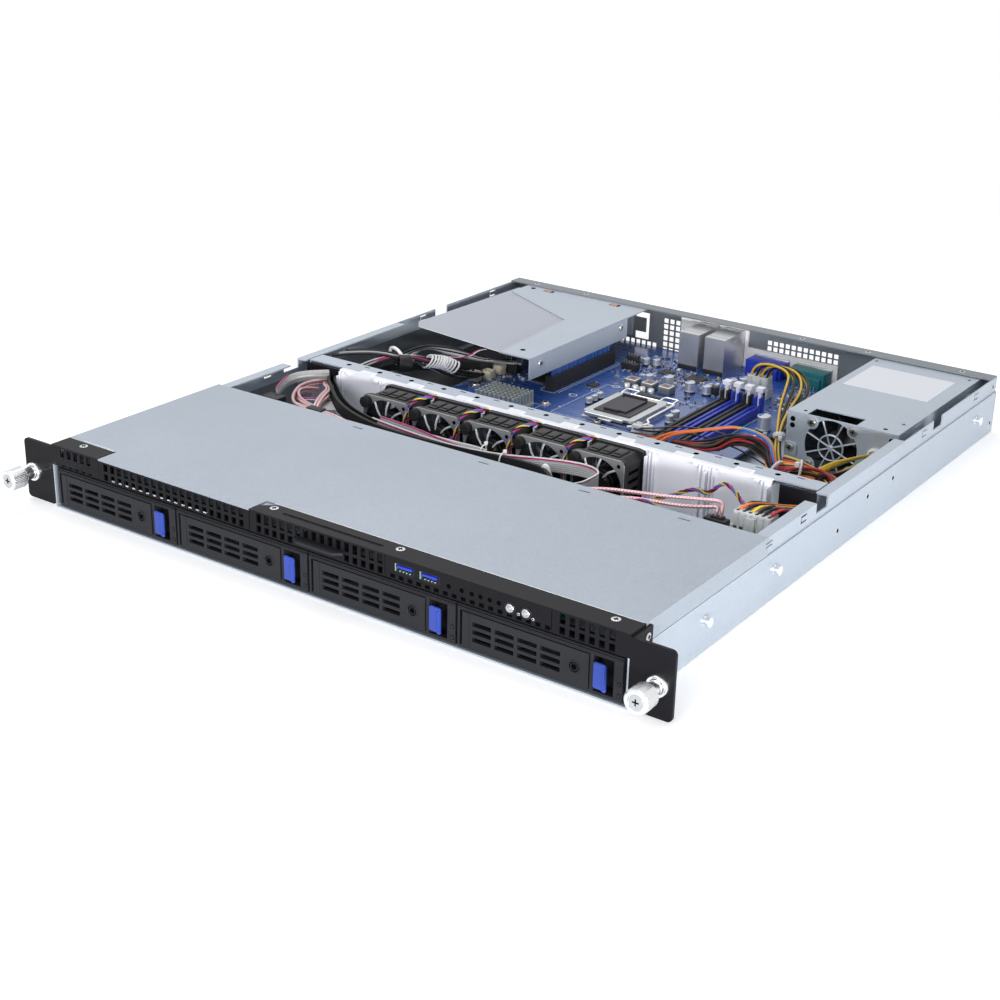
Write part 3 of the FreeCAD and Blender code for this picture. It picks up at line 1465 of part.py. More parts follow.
def power_harness():
    """The wire bundles from the power supply to the three power plugs."""
    part = doc.addObject("Part::Feature", "PowerHarness")
    plug_top = f"{BOARD_TOP} + plug_tall"
    main_x = f"{MAIN_PLUG_X} + plug_long / 2"
    main_y = f"{MAIN_PLUG_Y} + plug_wide / 2"
    exit_x = f"{SUPPLY_LEFT} + supply_width - 10"
    main = (
        (main_x, main_y, plug_top),
        (f"{main_x} + 14", f"{main_y} + 14", f"{plug_top} + 8"),
        (f"{main_x} + 48", f"{main_y} + 32", f"{plug_top} + 6"),
        (f"{SUPPLY_LEFT} + 12", f"{SUPPLY_FRONT} - 44", f"{plug_top} - 1"),
        (f"{exit_x} - 26", f"{SUPPLY_FRONT} - 36", f"{plug_top} - 4"),
        (exit_x, SUPPLY_FRONT, f"{plug_top} - 4"),
    )
    side_x = f"{SIDE_PLUG_X} + 9"
    side_y = f"{SIDE_PLUG_Y} + plug_wide / 2"
    side = (
        (side_x, side_y, plug_top),
        (f"{side_x} + 16", f"{side_y} + 5", f"{plug_top} + 9"),
        (f"{side_x} + 44", f"{side_y} - 6", f"{plug_top} + 9"),
        (f"{SUPPLY_LEFT} - 9", f"{SUPPLY_FRONT} + 66", f"{plug_top} + 4"),
        (f"{SUPPLY_LEFT} - 7", f"{SUPPLY_FRONT} + 18", f"{plug_top} - 10"),
        (f"{SUPPLY_LEFT} - 1", f"{SUPPLY_FRONT} - 26", f"{plug_top} - 13"),
    )
    drive_x = f"{DRIVE_PLUG_X} + 13"
    drive_y = f"{DRIVE_PLUG_Y} + plug_wide / 2 + 1"
    drives = (
        (drive_x, drive_y, "36"),
        (f"{drive_x} + 3", f"{drive_y} + 22", "37"),
        (f"{drive_x} + 3", f"{drive_y} + 50", "30"),
        (f"{drive_x} + 1", f"{drive_y} + 84", "26"),
        (f"{drive_x} - 6", f"{drive_y} + 114", "24"),
    )
    wide = measure("main_bundle")
    thin = measure("side_bundle")
    part.Shape = Part.makeCompound(
        [
            bundle("main bundle", main, wide),
            bundle("processor bundle", side, thin),
            bundle("drive bundle", drives, thin),
        ]
    )
    return node(part, "power_harness")


def signal_cables():
    """The flat sleeve from the mainboard's left edge round the fans to the front."""
    part = doc.addObject("Part::Feature", "SignalCables")
    left = f"-{INSIDE} + 24"
    lane = "fan_front - 31"
    low = f"{BAR_TOP} - bar_lip - sleeve_tall / 2 - 1"
    high = f"{DECK} + sleeve_tall / 2 + 0.4"
    points = (
        ("board_left + 4", f"{BOARD_BACK} - 158", f"{BOARD_TOP} + sleeve_tall / 2 + 1"),
        ("board_left - 20", f"{BOARD_BACK} - 178", "22"),
        (left, f"{BOARD_BACK} - 214", "26"),
        (left, f"{FAN_BACK} + 30", low),
        (f"{left} + 4", f"{FAN_BACK} - 14", low),
        (f"{left} + 34", f"{lane} + 6", high),
        (f"{left} + 80", f"{lane} - 4", high),
        (f"{left} + 130", f"{lane} - 1", high),
        (f"{left} + 180", f"{lane} - 4", high),
        (f"{left} + 222", f"{lane} - 10", high),
        (f"{left} + 250", f"{lane} - 32", high),
    )
    thick = measure("sleeve_thick")
    tall = measure("sleeve_tall")
    part.Shape = sleeve("signal sleeve", points, thick, tall)
    return node(part, "signal_cables")


def check_and_write():
    """Stop at the first failed object, then write every sub-part's file."""
    doc.recompute()
    for thing in doc.Objects:
        if "Invalid" in thing.State or "Error" in thing.State:
            raise RuntimeError(f"{thing.Name} did not compute")
    for thing in NODES:
        if thing.Shape.isNull() or not thing.Shape.isValid():
            raise RuntimeError(f"{thing.Label} has no valid shape")
        if not thing.Shape.Solids:
            raise RuntimeError(f"{thing.Label} has no solid")
    os.makedirs("parts", exist_ok=True)
    for thing in NODES:
        thing.Shape.exportStep(f"parts/{thing.Label}.step")


chassis_tray()
rear_panel()
front_cover()
front_panel()
optical_bay_blank()
drive_cage()
rack_ear("left_ear", -1)
rack_ear("right_ear", 1)
thumbscrew("left_thumbscrew", -1)
thumbscrew("right_thumbscrew", 1)
rail_studs()
for tray_number in range(1, 5):
    drive_tray(tray_number)
    tray_handle(tray_number)
    tray_latch(tray_number)
backplane()
front_io_board()
push_button("power_button", 0)
push_button("id_button", 1)
info_tag()
fan_bar()
fan_bracket()
fans()
mainboard()
cpu_socket()
socket_load_plate()
socket_cap()
socket_lever()
memory_slots()
for latch_number in range(1, 5):
    memory_latch(latch_number)
expansion_slot()
riser_card()
riser_bracket()
riser_film()
heatsink()
port_stacks()
flat_ports()
board_parts()
power_supply()
supply_rotor()
port_gasket()
power_plugs()
power_harness()
signal_cables()
check_and_write()
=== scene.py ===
import logging
import math
import random
from dataclasses import dataclass, field
from enum import Enum

import bmesh
import bpy
from mathutils import Matrix, Vector


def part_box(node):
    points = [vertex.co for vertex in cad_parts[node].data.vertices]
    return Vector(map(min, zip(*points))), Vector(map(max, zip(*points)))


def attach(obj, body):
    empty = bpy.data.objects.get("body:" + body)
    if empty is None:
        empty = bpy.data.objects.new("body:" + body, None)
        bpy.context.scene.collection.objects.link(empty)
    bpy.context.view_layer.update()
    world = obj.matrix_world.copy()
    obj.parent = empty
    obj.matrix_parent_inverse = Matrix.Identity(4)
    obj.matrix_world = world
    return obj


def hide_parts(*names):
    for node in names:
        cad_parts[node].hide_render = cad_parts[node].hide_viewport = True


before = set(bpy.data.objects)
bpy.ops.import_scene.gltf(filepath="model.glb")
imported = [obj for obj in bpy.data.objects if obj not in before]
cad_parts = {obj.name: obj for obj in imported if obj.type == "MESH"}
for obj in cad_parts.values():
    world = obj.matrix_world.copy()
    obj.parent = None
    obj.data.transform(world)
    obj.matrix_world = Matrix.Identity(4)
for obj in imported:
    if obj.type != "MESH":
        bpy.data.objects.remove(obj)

LOG = logging.getLogger("rack_server")
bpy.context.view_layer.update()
MM = 0.001
PANEL_TO_ROW = -251.5
CASE_TOP = 43.0
BOARD_TOP = 8.6
CABLE_DECK = 29.6
MARK = 0.03
RELIEF_DEPTH = 0.0002
GLOSS_SWING = 0.06
COAT_ROUGH = 0.15
SHARP_ANGLE = math.radians(38)
TWIST_START = (0.31, 0.2, 0.93)
Point = tuple[float, float, float]
Spot = tuple[float, float]
UP: Point = (0.0, 0.0, 1.0)
FORWARD: Point = (0.0, -1.0, 0.0)
REARWARD: Point = (0.0, 1.0, 0.0)


def spot(x: float, y: float, z: float) -> Vector:
    """Millimetres from the front panel's middle, as metres in the row frame."""
    return Vector((x * MM, (y + PANEL_TO_ROW) * MM, z * MM))


def node(tree: bpy.types.NodeTree, kind: str, **fixed: object) -> bpy.types.Node:
    """Add a shader node.

    Args:
        tree: The node tree.
        kind: Type of the node, without its common first part.
        fixed: Values of its inputs, with _ for a space in an input's name.

    Returns:
        The new node.
    """
    made = tree.nodes.new(f"ShaderNode{kind}")
    for name, value in fixed.items():
        made.inputs[name.replace("_", " ")].default_value = value
    return made


class Grain(Enum):
    """How a surface breaks up when seen close."""

    MOULD = "fine pits of a moulded surface"
    SPANGLE = "crystal flakes of zinc"
    BRUSH = "lines along one way"
    TRACKS = "copper tracks under solder mask"
    WEAVE = "crossing threads"
    CLOUD = "soft uneven tone"


@dataclass(frozen=True)
class Finish:
    """One surface finish: colour, gloss and close-up grain."""

    label: str
    colour: Point
    slot: str
    rough: float = 0.5
    metal: float = 0.0
    grain: Grain = Grain.MOULD
    scale: float = 1500.0
    spread: float = 0.10
    bump: float = 0.10
    coat: float = 0.0
    clear: float = 0.0
    shine: float = 0.5

    def material(self) -> bpy.types.Material:
        """Build the node material on first use.

        Returns:
            The material, shared by every piece with this finish.
        """
        known = bpy.data.materials.get(self.label)
        if known:
            return known
        made = bpy.data.materials.new(self.label)
        made.use_nodes = True
        tree = made.node_tree
        shader = next(n for n in tree.nodes if n.type == "BSDF_PRINCIPLED")
        fixed = {
            "Metallic": self.metal, "Coat Weight": self.coat, "Coat Roughness": COAT_ROUGH,
            "Transmission Weight": self.clear, "Specular IOR Level": self.shine,
        }
        for name, value in fixed.items():
            shader.inputs[name].default_value = value
        height = self._grain(tree)
        self._tone(tree, shader, height)
        self._gloss(tree, shader, height)
        relief = node(tree, "Bump", Strength=self.bump, Distance=RELIEF_DEPTH)
        tree.links.new(height, relief.inputs["Height"])
        tree.links.new(relief.outputs["Normal"], shader.inputs["Normal"])
        return made

    def _grain(self, tree: bpy.types.NodeTree) -> bpy.types.NodeSocket:
        """Add the texture that this grain calls for.

        Args:
            tree: The node tree of the material.

        Returns:
            A socket from 0 to 1 that drives tone, gloss and relief.
        """
        place = node(tree, "TexCoord")
        turn = node(tree, "Mapping")
        tree.links.new(place.outputs["Object"], turn.inputs["Vector"])
        if self.grain in (Grain.SPANGLE, Grain.TRACKS):
            if self.grain is Grain.SPANGLE:
                cells = node(tree, "TexVoronoi", Scale=self.scale)
            else:
                cells = node(
                    tree, "TexBrick", Scale=self.scale, Mortar_Size=0.03, Brick_Width=3.4, Row_Height=0.16,
                    Color1=(0.25, 0.25, 0.25, 1), Color2=(0.75, 0.75, 0.75, 1), Mortar=(0.1, 0.1, 0.1, 1),
                )
            tree.links.new(turn.outputs["Vector"], cells.inputs["Vector"])
            grey = node(tree, "RGBToBW")
            tree.links.new(cells.outputs["Color"], grey.inputs["Color"])
            return grey.outputs["Val"]
        if self.grain is Grain.WEAVE:
            turn.inputs["Rotation"].default_value = (0.6, 0.0, 0.8)
            wave = node(tree, "TexWave", Scale=self.scale, Distortion=1.2)
            tree.links.new(turn.outputs["Vector"], wave.inputs["Vector"])
            return wave.outputs["Fac"]
        if self.grain is Grain.BRUSH:
            turn.inputs["Scale"].default_value = (0.03, 1.0, 1.0)
        noise = node(tree, "TexNoise", Scale=self.scale, Detail=3.0)
        tree.links.new(turn.outputs["Vector"], noise.inputs["Vector"])
        return noise.outputs["Fac"]

    def _tone(self, tree: bpy.types.NodeTree, shader: bpy.types.Node, height: bpy.types.NodeSocket) -> None:
        """Vary the colour with the grain and with a broad cloud.

        Args:
            tree: The node tree of the material.
            shader: The shader that takes the colour.
            height: The grain's socket.
        """
        place = node(tree, "TexCoord")
        cloud = node(tree, "TexNoise", Scale=14.0, Detail=4.0)
        tree.links.new(place.outputs["Object"], cloud.inputs["Vector"])
        both = node(tree, "Math")
        both.operation = "MULTIPLY_ADD"
        both.inputs[1].default_value = 0.5
        half = node(tree, "Math")
        half.operation = "MULTIPLY"
        half.inputs[1].default_value = 0.5
        tree.links.new(cloud.outputs["Fac"], half.inputs[0])
        tree.links.new(height, both.inputs[0])
        tree.links.new(half.outputs[0], both.inputs[2])
        ramp = node(tree, "ValToRGB")
        low, high = 1.0 - self.spread, 1.0 + self.spread
        for stop, position, factor in zip(ramp.color_ramp.elements, (0.25, 0.75), (low, high)):
            stop.position = position
            stop.color = (*(min(c * factor, 1.0) for c in self.colour), 1.0)
        tree.links.new(both.outputs[0], ramp.inputs["Fac"])
        tree.links.new(ramp.outputs["Color"], shader.inputs["Base Color"])

    def _gloss(self, tree: bpy.types.NodeTree, shader: bpy.types.Node, height: bpy.types.NodeSocket) -> None:
        """Vary the roughness with the grain.

        Args:
            tree: The node tree of the material.
            shader: The shader that takes the roughness.
            height: The grain's socket.
        """
        rough = {"To_Min": max(self.rough - GLOSS_SWING, 0.03), "To_Max": min(self.rough + GLOSS_SWING, 1.0)}
        reach = node(tree, "MapRange", **rough)
        tree.links.new(height, reach.inputs["Value"])
        tree.links.new(reach.outputs["Result"], shader.inputs["Roughness"])


STEEL = Finish(
    "galvanised_sheet", (0.415, 0.465, 0.53), "galvanised_steel", 0.42, 0.45, Grain.SPANGLE, 900, 0.07, 0.03,
)
# Painted shade: the same galvanised steel as the body, darker, to tone down the lit top of the cover.
SHADED_COVER_STEEL = Finish(
    "cover_sheet_painted_shade", (0.345, 0.389, 0.446), "galvanised_steel", 0.42, 0.45, Grain.SPANGLE, 900, 0.07, 0.03,
)
# Painted shade: a darker copy of the galvanised steel for sheets that stand in shade.
PAINTED_SHADE_STEEL = Finish(
    "painted_shade_sheet", (0.20, 0.22, 0.24), "galvanised_steel", 0.50, 0.4, Grain.SPANGLE, 900, 0.07, 0.03,
)
# Bright zinc plating; also used for painted highlights along the cover's edges.
ZINC_AND_HIGHLIGHT = Finish(
    "zinc_plate_and_painted_highlight", (0.55, 0.57, 0.58), "bright_steel", 0.34, 0.9, Grain.CLOUD, 300, 0.05, 0.02,
)
CHROME = Finish("bright_plating", (0.84, 0.85, 0.87), "bright_steel", 0.24, 1.0, Grain.CLOUD, 900, 0.05, 0.02)
BUTTON_CHROME = Finish(
    "button_plating", (0.56, 0.57, 0.60), "chromed_cap", 0.22, 1.0, Grain.CLOUD, 700, 0.05, 0.02,
)
BLACK_PAINT = Finish(
    "satin_black_paint", (0.0065, 0.0065, 0.0085), "black_steel", 0.48, 0.0, Grain.MOULD, 2600, 0.25, 0.22,
    shine=0.13,
)
BLACK_MOULD = Finish(
    "black_mould", (0.0125, 0.013, 0.0165), "black_plastic", 0.50, 0.0, Grain.MOULD, 2200, 0.25, 0.18,
    shine=0.28,
)
FAN_BLACK = Finish(
    "fan_black", (0.011, 0.011, 0.013), "black_plastic", 0.45, 0.0, Grain.MOULD, 1600, 0.25, 0.10, shine=0.25,
)
# Painted sheen: the fan's front flange and hole rims are a lighter copy of the fan black.
FAN_RIM_SHEEN = Finish(
    "fan_rim_painted_sheen", (0.165, 0.170, 0.182), "black_plastic", 0.42, 0.0, Grain.MOULD, 1600, 0.2, 0.08,
)
# Painted highlight: pale lines on the top and right edges of each fan's front flange.
FAN_EDGE_HIGHLIGHT = Finish(
    "fan_edge_painted_highlight", (0.46, 0.44, 0.38), "black_plastic", 0.5, 0.0, Grain.MOULD, 1600, 0.15, 0.05,
)
RUBBER = Finish(
    "black_rubber", (0.012, 0.012, 0.013), "black_plastic", 0.75, 0.0, Grain.MOULD, 1200, 0.2, 0.2,
    shine=0.15,
)
STRUT = Finish("strut_grey", (0.66, 0.67, 0.69), "bright_steel", 0.42, 0.25, Grain.CLOUD, 900, 0.1, 0.04)
# Painted shade: a flat near-black that stands for the shade inside holes, slits, recesses and seam gaps.
OPENING_SHADE = Finish(
    "painted_opening_shade", (0.003, 0.003, 0.003), "black_plastic", 0.9, 0.0, Grain.CLOUD, 300, 0.3, 0.02, shine=0.0,
)
BLUE_LATCH = Finish(
    "latch_blue", (0.034, 0.070, 0.39), "blue_plastic", 0.46, 0.0, Grain.MOULD, 1800, 0.10, 0.10, shine=0.35,
)
BLUE_PART = Finish(
    "connector_blue", (0.016, 0.040, 0.46), "blue_plastic", 0.36, 0.0, Grain.MOULD, 1500, 0.12, 0.08,
    shine=0.4,
)
TEAL_PART = Finish(
    "connector_teal", (0.012, 0.16, 0.18), "blue_plastic", 0.38, 0.0, Grain.MOULD, 1500, 0.12, 0.08,
    shine=0.4,
)
WHITE_MOULD = Finish(
    "white_mould", (0.87, 0.87, 0.94), "white_plastic", 0.45, 0.0, Grain.MOULD, 1400, 0.04, 0.06,
)
CREAM_PART = Finish(
    "connector_cream", (0.76, 0.70, 0.52), "white_plastic", 0.45, 0.0, Grain.MOULD, 1500, 0.06, 0.06,
)
CLEAR_PART = Finish(
    "clear_nylon", (0.76, 0.78, 0.79), "white_plastic", 0.30, 0.0, Grain.CLOUD, 250, 0.06, 0.03, 0.0, 0.25,
)
# Pale label stock; also used for painted highlights and painted light: strips along edges and behind holes.
PALE_LABEL_AND_HIGHLIGHT = Finish(
    "bare_label_and_painted_highlight", (0.74, 0.75, 0.80), "white_plastic", 0.55, 0.0, Grain.CLOUD, 500, 0.03, 0.02, shine=0.3,
)
PRINT = Finish("board_print", (0.72, 0.76, 0.82), "white_plastic", 0.6, 0.0, Grain.CLOUD, 900, 0.08, 0.02)
BOARD = Finish(
    "blue_solder_mask", (0.027, 0.090, 0.345), "blue_board", 0.26, 0.0, Grain.TRACKS, 110, 0.22, 0.06, 0.4,
)
GREEN_BOARD = Finish(
    "green_solder_mask", (0.02, 0.12, 0.06), "green_board", 0.30, 0.0, Grain.TRACKS, 110, 0.2, 0.06, 0.3,
)
CHIP = Finish(
    "chip_resin", (0.022, 0.022, 0.024), "black_plastic", 0.5, 0.0, Grain.MOULD, 2600, 0.2, 0.1, shine=0.3,
)
CAP_RESIN = Finish(
    "socket_cap_resin", (0.036, 0.036, 0.044), "black_plastic", 0.44, 0.0, Grain.MOULD, 1600, 0.15, 0.08,
    shine=0.3,
)
TIN = Finish("tin_plate", (0.62, 0.63, 0.65), "bright_steel", 0.32, 0.85, Grain.CLOUD, 400, 0.06, 0.03)
CAN = Finish(
    "capacitor_can", (0.60, 0.63, 0.66), "anodised_aluminium", 0.34, 0.7, Grain.CLOUD, 500, 0.05, 0.02,
)
NICKEL = Finish("dull_nickel", (0.34, 0.33, 0.31), "bright_steel", 0.34, 0.9, Grain.CLOUD, 500, 0.08, 0.03)
CHOKE = Finish(
    "choke_ferrite", (0.17, 0.18, 0.19), "anodised_aluminium", 0.55, 0.2, Grain.MOULD, 900, 0.12, 0.12,
)
COPPER = Finish("bare_copper", (0.55, 0.27, 0.14), "bright_steel", 0.35, 0.8, Grain.CLOUD, 400, 0.08, 0.03)
FINS = Finish(
    "plain_aluminium", (0.50, 0.53, 0.52), "anodised_aluminium", 0.38, 0.6, Grain.BRUSH, 500, 0.06, 0.04,
)
FOAM = Finish("gasket_cloth", (0.90, 0.88, 0.85), "tan_foam", 0.8, 0.0, Grain.WEAVE, 700, 0.10, 0.25)
FILM = Finish("grey_film_sheet", (0.405, 0.425, 0.49), "grey_film", 0.42, 0.0, Grain.CLOUD, 25, 0.04, 0.02)
CERAMIC = Finish("ceramic_tan", (0.33, 0.24, 0.15), "tan_foam", 0.5, 0.0, Grain.CLOUD, 700, 0.2, 0.03)


def jacket(label: str, colour: Point, rough: float = 0.42, shine: float = 0.4) -> Finish:
    """A vinyl wire jacket of one colour."""
    return Finish(
        f"wire_{label}", colour, "wire_jacket", rough, 0.0, Grain.CLOUD, 500, 0.08, 0.04, shine=shine,
    )


RED = jacket("red", (0.36, 0.010, 0.018))
BLACK = jacket("black", (0.009, 0.009, 0.010), 0.45, 0.24)
YELLOW = jacket("yellow", (0.66, 0.42, 0.03))
ORANGE = jacket("orange", (0.72, 0.15, 0.02))
BLUE = jacket("blue", (0.03, 0.13, 0.48))
GREEN = jacket("green", (0.13, 0.46, 0.10))
BROWN = jacket("brown", (0.055, 0.028, 0.018))
GREY = jacket("grey", (0.42, 0.42, 0.42), 0.5)
WHITE = jacket("white", (0.70, 0.70, 0.70), 0.45)
MAGENTA = jacket("magenta", (0.42, 0.02, 0.16))
PINK = Finish("foil_pink", (0.58, 0.36, 0.385), "wire_jacket", 0.28, 0.45, Grain.WEAVE, 300, 0.16, 0.06)
SLEEVE = Finish(
    "black_sleeve", (0.013, 0.013, 0.014), "wire_jacket", 0.6, 0.0, Grain.WEAVE, 900, 0.25, 0.25, shine=0.2,
)


class Side(Enum):
    """The axis along which a flat outline gets its thickness."""

    X = 0
    Y = 1
    Z = 2

    def place(self, u: float, v: float, level: float) -> Vector:
        """A point of the outline, with the outline's own two measures first."""
        return spot(*{Side.X: (level, u, v), Side.Y: (u, level, v), Side.Z: (u, v, level)}[self])


class Form:
    """A mesh under construction, in panel millimetres."""

    def __init__(self) -> None:
        """Start empty."""
        self.mesh = bmesh.new()

    def _round(self, edges: list[bmesh.types.BMEdge], size: float, segments: int) -> None:
        """Round the given edges."""
        bmesh.ops.bevel(
            self.mesh, geom=edges, offset=size * MM, offset_type="OFFSET", affect="EDGES",
            segments=segments, profile=0.5, material=-1, clamp_overlap=True,
        )

    def block(self, low: Point, high: Point, edge: float = 0.0, segments: int = 2) -> None:
        """Add a block between two corners, with rounded edges.

        Args:
            low: Lowest corner.
            high: Highest corner.
            edge: Radius of the edges, 0 for none.
            segments: Steps of the rounding.
        """
        a, b = spot(*low), spot(*high)
        size = b - a
        place = Matrix.Translation((a + b) / 2) @ Matrix.Diagonal((size.x, size.y, size.z, 1.0))
        made = bmesh.ops.create_cube(self.mesh, size=1.0, matrix=place)
        if edge:
            self._round(list({e for v in made["verts"] for e in v.link_edges}), edge, segments)

    def rod(
        self, start: Point, end: Point, radius: float, tip: float | None = None, sides: int = 16,
        edge: float = 0.0,
    ) -> None:
        """Add a round or many-sided bar between two points.

        Args:
            start: Middle of the first end.
            end: Middle of the second end.
            radius: Radius at the first end.
            tip: Radius at the second end, if it differs.
            sides: Number of sides.
            edge: Radius of the rims, 0 for none.
        """
        a, b = spot(*start), spot(*end)
        along = b - a
        place = Matrix.Translation((a + b) / 2) @ along.to_track_quat("Z", "Y").to_matrix().to_4x4()
        made = bmesh.ops.create_cone(
            self.mesh, cap_ends=True, segments=sides, radius1=radius * MM,
            radius2=(radius if tip is None else tip) * MM, depth=along.length, matrix=place,
        )
        if edge:
            rims = {
                e for v in made["verts"] for e in v.link_edges
                if abs((e.verts[0].co - e.verts[1].co).dot(along)) < 1e-9
            }
            self._round(list(rims), edge, 2)

    def turned(self, base: Point, along: Point, profile: list[Spot], steps: int = 32) -> None:
        """Add a lathe shape.

        Args:
            base: The point that the profile's distances start from.
            along: Direction of the axis.
            profile: Radius and distance along the axis, from one end to the other.
            steps: Steps round the axis.
        """
        verts = [self.mesh.verts.new((r * MM, 0.0, d * MM)) for r, d in profile]
        edges = [self.mesh.edges.new(pair) for pair in zip(verts, verts[1:])]
        before = set(self.mesh.verts) - set(verts)
        bmesh.ops.spin(
            self.mesh, geom=[*verts, *edges], cent=(0, 0, 0), axis=(0, 0, 1), angle=math.tau,
            steps=steps, use_merge=True, use_duplicate=False,
        )
        fresh = [v for v in self.mesh.verts if v not in before]
        bmesh.ops.remove_doubles(self.mesh, verts=fresh, dist=1e-7)
        fresh = [v for v in self.mesh.verts if v not in before]
        bmesh.ops.recalc_face_normals(self.mesh, faces=list({f for v in fresh for f in v.link_faces}))
        turn = Vector(along).to_track_quat("Z", "Y").to_matrix().to_4x4()
        bmesh.ops.transform(self.mesh, matrix=Matrix.Translation(spot(*base)) @ turn, verts=fresh)

    def ring(self, middle: Point, along: Point, radius: float, wire: float, steps: int = 32) -> None:
        """Add a round wire ring about an axis."""
        profile = [
            (radius + wire * math.cos(a), wire * math.sin(a)) for a in (k * math.tau / 8 for k in range(9))
        ]
        self.turned(middle, along, profile, steps)

    def sheet(self, outline: list[Spot], side: Side, level: float, thick: float, edge: float = 0.0) -> None:
        """Add a flat outline with a thickness.

        Args:
            outline: Corners, in the outline's own two measures.
            side: Axis of the thickness.
            level: Where the outline lies on that axis.
            thick: Thickness towards the positive end of the axis.
            edge: Radius of the edges, 0 for none.
        """
        face = self.mesh.faces.new([self.mesh.verts.new(side.place(u, v, level)) for u, v in outline])
        start = list(face.verts)
        made = bmesh.ops.extrude_face_region(self.mesh, geom=[face], use_keep_orig=True)
        fresh = [g for g in made["geom"] if isinstance(g, bmesh.types.BMVert)]
        move = side.place(0, 0, thick) - side.place(0, 0, 0)
        bmesh.ops.translate(self.mesh, vec=move, verts=fresh)
        faces = list({f for v in [*start, *fresh] for f in v.link_faces})
        bmesh.ops.recalc_face_normals(self.mesh, faces=faces)
        if edge:
            self._round(list({e for v in [*start, *fresh] for e in v.link_edges}), edge, 2)

    def bored(
        self, x: float, z: float, half: float, corner: float, bore: float, front: float, back: float,
    ) -> None:
        """Add a square fan flange with a round bore.

        Args:
            x: Middle, to the right.
            z: Middle, up.
            half: Half of the square's side.
            corner: Radius of the square's corners.
            bore: Radius of the bore.
            front: Front face.
            back: Back face.
        """
        around = 48
        outer, inner = [], []
        for k in range(around):
            a = math.tau * k / around
            reach = min(half / max(abs(math.cos(a)), 1e-6), half / max(abs(math.sin(a)), 1e-6))
            reach = min(reach, half * math.sqrt(2) - corner * (math.sqrt(2) - 1))
            outer.append(self.mesh.verts.new(spot(x + reach * math.cos(a), front, z + reach * math.sin(a))))
            inner.append(self.mesh.verts.new(spot(x + bore * math.cos(a), front, z + bore * math.sin(a))))
        rims = [self.mesh.edges.new((loop[k - 1], loop[k])) for loop in (outer, inner) for k in range(around)]
        faces = bmesh.ops.bridge_loops(self.mesh, edges=rims)["faces"]
        made = bmesh.ops.extrude_face_region(self.mesh, geom=faces, use_keep_orig=True)
        fresh = [g for g in made["geom"] if isinstance(g, bmesh.types.BMVert)]
        bmesh.ops.translate(self.mesh, vec=(0, (back - front) * MM, 0), verts=fresh)
        bmesh.ops.recalc_face_normals(
            self.mesh, faces=list({f for v in [*outer, *inner, *fresh] for f in v.link_faces}),
        )

    def blades(self, middle: Point, hub: float, tip: float, deep: float, count: int, sweep: float) -> None:
        """Add a fan's twisted blades about an axis that runs front to back.

        Args:
            middle: Middle of the rotor.
            hub: Radius where the blades start.
            tip: Radius where they end.
            deep: Depth of the blades along the axis.
            count: Number of blades.
            sweep: Angle that a blade turns through from front to back.
        """
        for k in range(count):
            made = bmesh.ops.create_grid(self.mesh, x_segments=3, y_segments=5, size=0.5)
            verts = made["verts"]
            for v in verts:
                u, w = v.co.x + 0.5, v.co.y
                radius = hub + (tip - hub) * u
                a = math.tau * k / count + w * sweep - 0.25 * u
                v.co = spot(
                    middle[0] + radius * math.cos(a), middle[1] + deep * w, middle[2] + radius * math.sin(a),
                )
            faces = list({f for v in verts for f in v.link_faces})
            bmesh.ops.solidify(self.mesh, geom=faces, thickness=0.5 * MM)

    def strip(self, path: list[Vector], rise: float, thick: float) -> None:
        """Add an upright band along a path.

        Args:
            path: Points along the band's lower edge, in metres.
            rise: Height of the band.
            thick: Its thickness.
        """
        verts = [self.mesh.verts.new(p) for p in path]
        edges = [self.mesh.edges.new(pair) for pair in zip(verts, verts[1:])]
        made = bmesh.ops.extrude_edge_only(self.mesh, edges=edges)["geom"]
        bmesh.ops.translate(
            self.mesh, vec=(0, 0, rise * MM), verts=[g for g in made if isinstance(g, bmesh.types.BMVert)],
        )
        faces = [g for g in made if isinstance(g, bmesh.types.BMFace)]
        bmesh.ops.recalc_face_normals(self.mesh, faces=faces)
        bmesh.ops.solidify(self.mesh, geom=faces, thickness=thick * MM)

    def done(self, name: str, finish: Finish, body: str = "base", replaces: tuple[str, ...] = ()) -> None:
        """Turn the form into a finished piece on its body.

        Args:
            name: Name of the piece.
            finish: Its finish.
            body: The body that it rides on.
            replaces: Nodes that it stands for.
        """
        self.mesh.normal_update()
        data = bpy.data.meshes.new(name)
        self.mesh.to_mesh(data)
        self.mesh.free()
        data.polygons.foreach_set("use_smooth", [True] * len(data.polygons))
        data.set_sharp_from_angle(angle=SHARP_ANGLE)
        data.materials.append(finish.material())
        piece = bpy.data.objects.new(name, data)
        bpy.context.scene.collection.objects.link(piece)
        settle(piece, body, replaces)


def settle(piece: bpy.types.Object, body: str, replaces: tuple[str, ...]) -> None:
    """Parent a piece to its body's empty and hide the nodes that it stands for.

    Args:
        piece: The finished piece.
        body: The body that it rides on.
        replaces: Nodes that it stands for.
    """
    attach(piece, body)
    if replaces:
        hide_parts(*replaces)
    LOG.info("piece %s rides on %s", piece.name, body)


